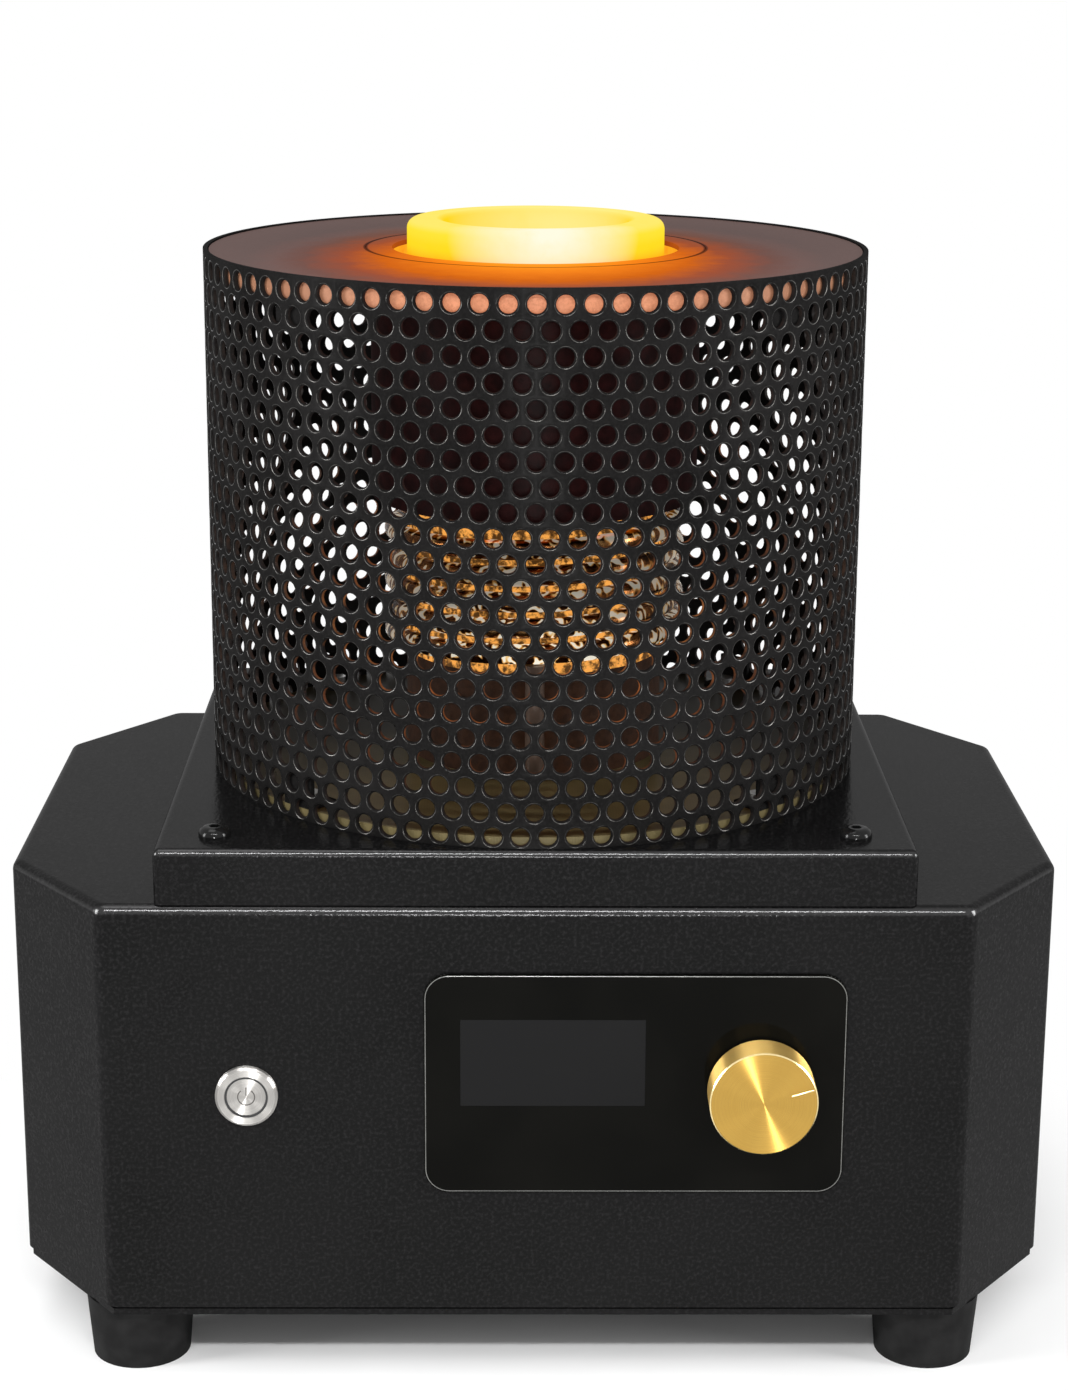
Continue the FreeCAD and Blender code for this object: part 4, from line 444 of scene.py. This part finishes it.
def turned_rings(made, reach, spacing):
    """Fine rings at a distance from the axis of turning."""
    rings = made.node("ShaderNodeTexNoise", noise_dimensions="1D")
    rings.inputs["Scale"].default_value = 1 / spacing
    rings.inputs["Detail"].default_value = 3
    made.link(reach, rings.inputs["W"])
    return rings.outputs["Fac"]


def turned_metal(name, dark, bright, roughness, reach, axis):
    """Turned metal: fine rings about an axis, which draw each lamp out into a streak."""
    made = Surface(name, roughness, 1.0, Anisotropic=1.0, Anisotropic_Rotation=0.25)
    rings = turned_rings(made, made.distance_from(*reach), 0.12 * MM)
    broad = made.noise(5 * MM, detail=2)
    tone = made.ramp(rings, (0.3, dark), (0.7, bright))
    made.colour(made.mix(made.spread(broad, 0.0, 0.2, 0.3, 0.7), tone, shade(dark, 1.1)))
    made.rough(made.spread(rings, roughness * 0.88, roughness * 1.15, 0.3, 0.7))
    tangent = made.node("ShaderNodeTangent", direction_type="RADIAL", axis=axis)
    made.link(tangent.outputs["Tangent"], made.shader.inputs["Tangent"])
    return made


def brushed_metal(name, colour, roughness, stretch, depth=0.006 * MM):
    """Plain metal with fine scratches along one direction."""
    made = Surface(name, roughness, 1.0)
    scratches = made.noise(1.2 * MM, detail=6, roughness=0.7, stretch=stretch)
    made.colour(made.ramp(scratches, (0.3, shade(colour, 0.85)), (0.7, shade(colour, 1.1))))
    made.rough(made.spread(scratches, roughness * 0.75, roughness * 1.3, 0.3, 0.7))
    made.relief(scratches, depth)
    return made


def gloss_black(name):
    """The glossy overlay, with the faint waviness of moulded sheet."""
    made = Surface(name, 0.3, **thin_gloss(0.09, 0.06))
    wave = made.noise(30 * MM, detail=2)
    made.colour(made.ramp(wave, (0.3, (0.0026, 0.0026, 0.0022)), (0.7, (0.0038, 0.0037, 0.0031))))
    made.rough(made.spread(made.noise(2 * MM), 0.25, 0.35, 0.3, 0.7))
    made.relief(wave, 0.02 * MM, 0.3)
    return made


def screen_glass(name):
    """The unlit screen under its window: dark blue-grey, with the faint net of its dots."""
    made = Surface(name, 0.4, **thin_gloss(0.09, 0.05))
    dots = made.node("ShaderNodeTexBrick")
    dots.inputs["Scale"].default_value = 1 / (0.42 * MM)
    dots.inputs["Color1"].default_value = (0.0098, 0.0098, 0.01, 1)
    dots.inputs["Color2"].default_value = (0.0106, 0.0106, 0.0108, 1)
    dots.inputs["Mortar"].default_value = (0.0088, 0.0088, 0.009, 1)
    turned = made.node("ShaderNodeMapping")
    turned.inputs["Rotation"].default_value = (math.radians(90), 0, 0)
    made.link(made.coordinates, turned.inputs["Vector"])
    made.link(turned.outputs["Vector"], dots.inputs["Vector"])
    made.colour(dots.outputs["Color"])
    made.rough(made.spread(made.noise(3 * MM), 0.17, 0.24, 0.3, 0.7))
    return made


def rubber(name):
    made = Surface(name, 0.6, **thin_gloss(0.12, 0.35))
    bloom = made.noise(8 * MM, detail=5)
    grain = made.noise(0.5 * MM, detail=3)
    made.colour(made.ramp(bloom, (0.3, (0.008, 0.008, 0.008)), (0.75, (0.015, 0.015, 0.015))))
    made.rough(made.spread(grain, 0.42, 0.62, 0.3, 0.7))
    made.relief(grain, 0.02 * MM)
    return made


def dress(material, *nodes):
    """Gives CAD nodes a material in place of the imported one."""
    for node in nodes:
        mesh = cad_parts[node].data
        mesh.materials.clear()
        mesh.materials.append(material)


# Meshes


def mesh_piece(name, points, faces, materials, origin=Vector((0, 0, 0)), sharp=35, finish=None):
    """An object from points and faces; finish gives each face's place in the list of materials."""
    mesh = bpy.data.meshes.new(name)
    mesh.from_pydata([tuple(point) for point in points], [], faces)
    for material in materials:
        mesh.materials.append(material)
    if finish:
        mesh.polygons.foreach_set("material_index", finish)
    for polygon in mesh.polygons:
        polygon.use_smooth = True
    mesh.set_sharp_from_angle(angle=math.radians(sharp))
    piece = bpy.data.objects.new(name, mesh)
    piece.location = origin
    bpy.context.scene.collection.objects.link(piece)
    return piece


def punched_guard(sheet, lips, walls):
    """The guard: a rolled sheet with staggered rows of round holes, each cell a ring of quads."""
    columns = 80
    rows = 22
    row_step = 7.405 * MM
    first_row = 4.6 * MM
    hole_radius = 2.75 * MM
    lip = 0.55 * MM
    crest = 0.2 * MM
    phase = 0.43 * 2 * math.pi / columns
    across = 6
    upright = 4
    spare = 0.12 * MM
    around = columns * across
    outer = GUARD_RADIUS
    inner = GUARD_RADIUS - GUARD_WALL
    centres = [GUARD_TOP - first_row - row * row_step for row in range(rows)]
    edges = [GUARD_TOP] + [(a + b) / 2 for a, b in zip(centres, centres[1:])] + [GUARD_BOTTOM]
    step = 2 * math.pi * outer / around
    points = []
    known = {}

    def corner(key, arc, height, radius):
        if key not in known:
            angle = arc / outer - math.pi / 2 + phase
            known[key] = len(points)
            points.append((AXIS.x + radius * math.cos(angle), AXIS.y + radius * math.sin(angle), height))
        return known[key]

    def cell_rim(row, column, side, radius):
        """The cell's outer points, anticlockwise from its lower left."""
        start = column * across + (row % 2) * across // 2
        end = start + across
        low, high = edges[row + 1], edges[row]
        rim = []
        for i in range(across):
            rim.append(corner((side, "level", row + 1, (start + i) % around), (start + i) * step, low, radius))
        rim.append(corner((side, "level", row + 1, end % around), end * step, low, radius))
        for i in range(1, upright):
            height = low + (high - low) * i / upright
            rim.append(corner((side, "upright", row, end % around, i), end * step, height, radius))
        for i in range(across):
            rim.append(corner((side, "level", row, (end - i) % around), (end - i) * step, high, radius))
        rim.append(corner((side, "level", row, start % around), start * step, high, radius))
        for i in range(upright - 1, 0, -1):
            height = low + (high - low) * i / upright
            rim.append(corner((side, "upright", row, start % around, i), start * step, height, radius))
        return rim, (start + end) / 2 * step

    def hole(row, column, name, middle_arc, size, radius):
        spots = []
        for i in range(count):
            turn = hole_angle(i, across, upright, corner_angle)
            height = max(centres[row] + size * math.sin(turn), GUARD_BOTTOM + spare)
            spots.append(corner((name, row, column, i), middle_arc + size * math.cos(turn), height, radius))
        return spots

    faces = []
    finish = []
    count = 2 * (across + upright)
    corner_angle = math.atan2(row_step, across * step)
    for row in range(rows):
        for column in range(columns):
            front, arc = cell_rim(row, column, "out", outer)
            back, arc = cell_rim(row, column, "in", inner)
            rounds = [
                front,
                hole(row, column, "lip", arc, hole_radius + lip, outer),
                hole(row, column, "crest", arc, hole_radius + lip - crest, outer - crest / 3),
                hole(row, column, "edge", arc, hole_radius, outer - lip * 0.8),
                hole(row, column, "back", arc, hole_radius, inner),
                back,
            ]
            for ring, kind in enumerate((0, 1, 0, 2, 0)):
                first, second = rounds[ring], rounds[ring + 1]
                for i in range(count):
                    j = (i + 1) % count
                    faces.append((first[i], first[j], second[j], second[i]))
                    finish.append(kind)
    for edge in (0, rows):
        for i in range(around):
            j = (i + 1) % around
            quad = [known[("out", "level", edge, i)], known[("out", "level", edge, j)],
                    known[("in", "level", edge, j)], known[("in", "level", edge, i)]]
            faces.append(tuple(quad) if edge == 0 else tuple(reversed(quad)))
            finish.append(0)
    return mesh_piece("guard_punched", points, faces, [sheet, lips, walls], finish=finish)


def hole_angle(index, across, upright, corner_angle):
    """Where a point of a cell's rim lands on its hole: each side of the cell fills its own arc."""
    spans = (
        (across, corner_angle - math.pi, -corner_angle),
        (upright, -corner_angle, corner_angle),
        (across, corner_angle, math.pi - corner_angle),
        (upright, math.pi - corner_angle, math.pi + corner_angle),
    )
    for steps, start, end in spans:
        if index < steps:
            return start + (end - start) * index / steps
        index -= steps


def lathe(name, outline, materials, origin, segments=128, kinds=None):
    """A piece turned about an axis to the front, from (radius, distance to the front) points."""
    points = []
    faces = []
    for radius, ahead in outline:
        for i in range(segments):
            angle = 2 * math.pi * i / segments
            points.append(Vector((radius * math.cos(angle), radius * math.sin(angle), ahead)))
    finish = []
    for ring in range(len(outline) - 1):
        for i in range(segments):
            j = (i + 1) % segments
            low = ring * segments
            high = low + segments
            faces.append((low + i, low + j, high + j, high + i))
            finish.append(kinds[ring] if kinds else 0)
    piece = mesh_piece(name, points, faces, materials, origin, sharp=25, finish=finish)
    piece.rotation_euler = (math.radians(90), 0, 0)
    return piece


def ribbon(name, path, section, material, closed=True):
    """A strip along (x, z) stations with outward (x, z) directions, from (outward, y) section points."""
    points = []
    for x, z, out_x, out_z in path:
        for out, y in section:
            points.append((x + out * out_x, y, z + out * out_z))
    faces = []
    count = len(section)
    last = len(path) if closed else len(path) - 1
    for i in range(last):
        here = i * count
        there = (i + 1) % len(path) * count
        for k in range(count - 1):
            faces.append((here + k, here + k + 1, there + k + 1, there + k))
    return mesh_piece(name, points, faces, [material])


def rounded_outline(low, high, radius, steps=10):
    """Stations round a rectangle with rounded corners, as (x, z, outward x, outward z)."""
    stations = []
    for turn, (cx, cz) in enumerate(((high.x - radius, high.z - radius), (low.x + radius, high.z - radius),
                                     (low.x + radius, low.z + radius), (high.x - radius, low.z + radius))):
        for i in range(steps + 1):
            angle = math.pi / 2 * (turn + i / steps)
            out_x, out_z = math.cos(angle), math.sin(angle)
            stations.append((cx + radius * out_x, cz + radius * out_z, out_x, out_z))
    return stations


def place_camera():
    """The photograph's viewpoint, from the edges and ellipses that could be measured in it."""
    yaw, pitch, roll = math.radians(-0.57), math.radians(15.38), math.radians(0.29)
    ahead = Vector((-math.sin(yaw), math.cos(yaw), 0))
    right = Vector((math.cos(yaw), math.sin(yaw), 0))
    up = Vector((0, 0, 1))
    forward = ahead * math.cos(pitch) - up * math.sin(pitch)
    tilted_up = ahead * math.sin(pitch) + up * math.cos(pitch)
    x_axis = right * math.cos(roll) + tilted_up * math.sin(roll)
    y_axis = tilted_up * math.cos(roll) - right * math.sin(roll)
    camera = bpy.data.cameras.new("photo_camera")
    camera.sensor_width = 36
    camera.lens = 74.97
    piece = bpy.data.objects.new("photo_camera", camera)
    turned = Matrix((x_axis, y_axis, -forward)).transposed().to_4x4()
    piece.matrix_world = Matrix.Translation(Vector((-8.81, -901.27, 436.94)) * MM) @ turned
    bpy.context.scene.collection.objects.link(piece)
    bpy.context.scene.camera = piece


def area_light(name, place, aim, width, height, power, colour=(1, 1, 1)):
    light = bpy.data.lights.new(name, "AREA")
    light.shape = "RECTANGLE"
    light.size = width
    light.size_y = height
    light.energy = power
    light.color = colour
    lamp = bpy.data.objects.new(name, light)
    lamp.location = place
    lamp.rotation_euler = (Vector(aim) - Vector(place)).to_track_quat("-Z", "Y").to_euler()
    bpy.context.scene.collection.objects.link(lamp)


def seen_directly(tree):
    """1 for camera, mirror and glass rays, 0 for the rays that light things."""
    path = tree.nodes.new("ShaderNodeLightPath")
    total = path.outputs["Is Camera Ray"]
    for name in ("Is Glossy Ray", "Is Transmission Ray"):
        both = tree.nodes.new("ShaderNodeMath")
        both.operation = "MAXIMUM"
        tree.links.new(total, both.inputs[0])
        tree.links.new(path.outputs[name], both.inputs[1])
        total = both.outputs["Value"]
    return total


def white_world():
    world = bpy.data.worlds.new("studio")
    world.use_nodes = True
    bpy.context.scene.world = world
    tree = world.node_tree
    background = tree.nodes["Background"]
    background.inputs["Color"].default_value = (1, 1, 1, 1)
    strength = tree.nodes.new("ShaderNodeMapRange")
    strength.inputs["To Min"].default_value = 0.4
    strength.inputs["To Max"].default_value = 1.0
    tree.links.new(seen_directly(tree), strength.inputs["Value"])
    tree.links.new(strength.outputs["Result"], background.inputs["Strength"])


def studio_floor():
    """A wide white bench top that keeps the object's shadow."""
    side = 6.0
    made = Surface("bench_white", 0.55, Specular_IOR_Level=0.2)
    speckle = made.noise(40 * MM, detail=2)
    made.colour(made.ramp(speckle, (0.3, (0.93, 0.93, 0.93)), (0.7, (0.95, 0.95, 0.95))))
    seen = seen_directly(made.tree)
    white = made.node("ShaderNodeEmission")
    white.inputs["Strength"].default_value = 1.0
    blend = made.node("ShaderNodeMixShader")
    output = made.tree.nodes["Material Output"]
    away = made.spread(made.distance_from((0, 0, 0)), 0.0, 1.0, 0.13, 0.24)
    share = made.maths("MULTIPLY", seen, away)
    made.link(share, blend.inputs[0])
    made.link(made.shader.outputs[0], blend.inputs[1])
    made.link(white.outputs[0], blend.inputs[2])
    made.link(blend.outputs[0], output.inputs["Surface"])
    corners = [(-side, -side, 0), (side, -side, 0), (side, side, 0), (-side, side, 0)]
    floor = mesh_piece("bench", corners, [(0, 1, 2, 3)], [made.material])


def light_studio():
    area_light("front_strip", (-0.1, -1.3, 1.25), (0, 0, 0.15), 1.2, 0.08, 18)
    area_light("soft_top", (-0.3, 0.1, 1.5), (0, 0, 0.2), 1.0, 0.7, 7)
    area_light("soft_left", (-1.45, -0.45, 0.5), (0, 0, 0.1), 0.4, 0.8, 18)
    area_light("soft_right", (1.45, -0.45, 0.5), (0, 0, 0.1), 0.4, 0.8, 18)
    area_light("low_spark", (-0.01, -1.51, 0.1), (0, -0.11, 0.1), 0.05, 0.05, 6)


def power_mark(material):
    """The generic mark on the button: an open ring with a bar in its gap, on the cap's face."""
    centre = (CAP_LOW + CAP_HIGH) / 2
    radius = 2.5 * MM
    gap = math.radians(38)
    steps = 48
    ring = []
    for i in range(steps + 1):
        angle = math.pi / 2 + gap + (2 * math.pi - 2 * gap) * i / steps
        out_x, out_z = math.cos(angle), math.sin(angle)
        ring.append((centre.x + radius * out_x, centre.z + radius * out_z, out_x, out_z))
    bar = [(centre.x, centre.z + 0.5 * MM, 1, 0), (centre.x, centre.z + 3.1 * MM, 1, 0)]
    half = 0.17 * MM
    face = CAP_LOW.y
    proud = face - 0.03 * MM
    section = [(-half, face), (-half, proud), (half, proud), (half, face)]
    for name, path in (("power_ring", ring), ("power_bar", bar)):
        mark = ribbon(name, path, section, material, closed=False)
        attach(mark, "button")


def button_gap_ring(material):
    """A black ring filling the gap between the cap and its bezel."""
    centre = Vector(((BEZEL_LOW.x + BEZEL_HIGH.x) / 2, BEZEL_LOW.y, (BEZEL_LOW.z + BEZEL_HIGH.z) / 2))
    inner = 5.86 * MM
    outer = 6.49 * MM
    top = -0.15 * MM
    bottom = -5.0 * MM
    ring = lathe("button_gap_ring", [(inner, bottom), (inner, top), (outer, top), (outer, bottom)], [material], centre)
    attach(ring, "furnace")


def turned_knob(turned, polished, side):
    """The knob on its own axis, so that its rings and sheen turn with it, and its pointer line."""
    centre = Vector(((KNOB_LOW.x + KNOB_HIGH.x) / 2, KNOB_HIGH.y, (KNOB_LOW.z + KNOB_HIGH.z) / 2))
    radius = (KNOB_HIGH.x - KNOB_LOW.x) / 2
    tall = KNOB_HIGH.y - KNOB_LOW.y - 0.03 * MM
    bevel = 0.36 * MM
    skirt = 0.25 * MM
    wall = 2.5 * MM
    outline = [
        (radius - wall, tall - wall), (radius - wall, skirt), (radius - wall + skirt, 0),
        (radius - skirt, 0), (radius, skirt), (radius, tall - bevel), (radius - bevel, tall),
        (radius * 0.9, tall), (radius * 0.6, tall), (radius * 0.3, tall), (0.01 * MM, tall),
    ]
    kinds = (0, 0, 0, 0, 2, 1, 0, 0, 0, 0)
    knob = lathe("knob_turned", outline, [turned, polished, side], centre, segments=192, kinds=kinds)
    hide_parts("knob")
    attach(knob, "knob")

    angle = math.radians(17)
    out_x, out_z = math.cos(angle), math.sin(angle)
    path = [(centre.x + reach * out_x, centre.z + reach * out_z, -out_z, out_x)
            for reach in (radius * 0.54, radius - 2 * bevel)]
    half = 0.22 * MM
    face = KNOB_LOW.y
    proud = face + 0.002 * MM
    low = face + 0.03 * MM
    section = [(-half, low), (-half * 0.6, proud), (half * 0.6, proud), (half, low)]
    pointer = ribbon("knob_pointer", path, section, polished, closed=False)
    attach(pointer, "knob")


def panel_edge():
    """The thin bevel round the glossy overlay, light grey as a painted highlight so that it shows as a fine line; its
    gloss comes from the shader.
    """
    # Painted highlight: the bevel's light grey against the black overlay.
    material = mottled("overlay_bevel_painted_highlight", (0.15, 0.15, 0.142), 0.25, 0.5).material
    path = rounded_outline(PANEL_LOW, PANEL_HIGH, 7.5 * MM)
    face = PANEL_LOW.y
    wide = 0.35 * MM
    section = [(0.0, face + 0.6 * MM), (0.0, face + 0.15 * MM), (-wide, face - 0.02 * MM),
               (-wide * 1.6, face - 0.02 * MM), (-wide * 1.6, face + 0.1 * MM)]
    edge = ribbon("panel_bevel", path, section, material)
    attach(edge, "furnace")


def dress_frame():
    coat = powder_coat("case_coat", COAL, 0.42, 0.04 * MM).material
    dress(coat, "case_shell", "plinth_cover", "base_plate", "side_blocks")
    dress(mottled("black_oxide", (0.006, 0.006, 0.006), 0.4, depth=0.006 * MM, **thin_gloss(0.35, 0.14)).material,
          "plinth_screws")
    dress(rubber("foot_rubber").material, "rubber_feet")
    dress(guard_coat("bracket_coat").material, "guard_brackets", "lid_lugs")
    lid = scorched_with_painted_glow("lid_finish", (0.08, 0.047, 0.042), 1.0, rim=(0.6, 0.29, 0.17))
    dress(lid.material, "lid_plate")
    dress(scorched_with_painted_glow("collar_finish", (0.12, 0.06, 0.045), 1.05).material, "collar_ring")
    dress(crucible_glow().material, "crucible")
    dress(sleeve_clay().material, "refractory_sleeve")
    dress(glowing_clay("liner_clay", (0.1, 0.045, 0.015), (1.0, 0.42, 0.08), 0.9, cold=0.06).material,
          "crucible_liner")
    dress(glowing_clay("pedestal_clay", (0.012, 0.007, 0.005), (0.3, 0.1, 0.03), 0.05).material,
          "crucible_pedestal")
    dress(mottled("fired_ceramic", (0.07, 0.04, 0.025), 0.5, depth=0.02 * MM).material,
          "coil_standoffs", "lead_bushings")
    dress(drawn_copper().material, "induction_coil")
    # The board is left free of its painted shade at the guard's front edge.
    unshaded_place = AXIS + Vector((0, -GUARD_RADIUS, 0))
    dress(laminate("olive_floor", (0.12, 0.096, 0.044), unshaded_place=unshaded_place).material, "floor_board")
    dress(laminate("olive_board", (0.3, 0.24, 0.1)).material, "capacitor_board")
    dress(laminate("green_board", (0.008, 0.09, 0.03)).material, "inverter_board", "control_board")
    zinc = brushed_metal("zinc_steel", (0.5, 0.5, 0.49), 0.36, (1, 6, 1)).material
    dress(zinc, "foot_screws", "foot_nuts", "base_screws", "bracket_screws", "terminal_screws",
          "inlet_screws", "fan_screws", "button_nut", "encoder_nut", "board_posts", "bank_posts",
          "control_posts", "plinth_spacers", "inlet_pins", "button_spring", "encoder_shaft",
          "knob_grub_screw")
    dress(mottled("terminal_brass", (0.6, 0.38, 0.13), 0.35, 1.0, depth=0.01 * MM).material, "coil_terminals")
    dress(mottled("film_resin", (0.4, 0.24, 0.02), 0.35, depth=0.01 * MM).material,
          "tank_capacitors", "line_choke")
    dress(mottled("can_sleeve", (0.012, 0.014, 0.03), 0.28, depth=0.005 * MM).material, "bulk_capacitors")
    moulded = mottled("moulded_black", (0.012, 0.012, 0.0125), 0.5, depth=0.02 * MM).material
    dress(moulded, "power_transistors", "bridge_rectifier", "fan_frame", "fan_rotor", "mains_inlet",
          "display_module", "encoder_body", "encoder_plunger", "button_switch")
    dress(brushed_metal("sink_alloy", (0.62, 0.62, 0.63), 0.4, (8, 1, 1)).material, "heat_sink")
    dress(mottled("plated_wire", (0.7, 0.7, 0.7), 0.2, 1.0).material, "fan_grille")
    dress(gloss_black("panel_gloss").material, "control_panel")
    dress(screen_glass("screen_glass").material, "screen_window")
    nickel = turned_metal("button_nickel", (0.42, 0.405, 0.385), (0.66, 0.64, 0.61), 0.32,
                          (middle("button_cap"), (1, 0, 1)), "Y")
    dress(nickel.material, "button_bezel", "button_cap")
    return moulded


def dress_guard():
    guard = punched_guard(guard_coat("guard_coat").material, hole_lips("guard_lips").material,
                          hole_walls("guard_hole_walls").material)
    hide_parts("perforated_guard")
    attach(guard, "furnace")


bpy.context.scene.view_settings.view_transform = "Standard"
place_camera()
white_world()
studio_floor()
light_studio()
moulded_black = dress_frame()
dress_guard()
turned_knob(
    turned_metal("knob_brass", (0.52, 0.3, 0.06), (0.7, 0.45, 0.11), 0.2, ((0, 0, 0), (1, 1, 0)), "Z").material,
    brushed_metal("knob_polish", (0.95, 0.76, 0.4), 0.18, (1, 1, 6)).material,
    turned_metal("knob_wall", (0.6, 0.38, 0.1), (0.82, 0.58, 0.2), 0.4, ((0, 0, 0), (0, 0, 1)), "Z").material,
)
panel_edge()
button_gap_ring(moulded_black)
power_mark(mottled("mark_dark", (0.06, 0.055, 0.05), 0.5).material)
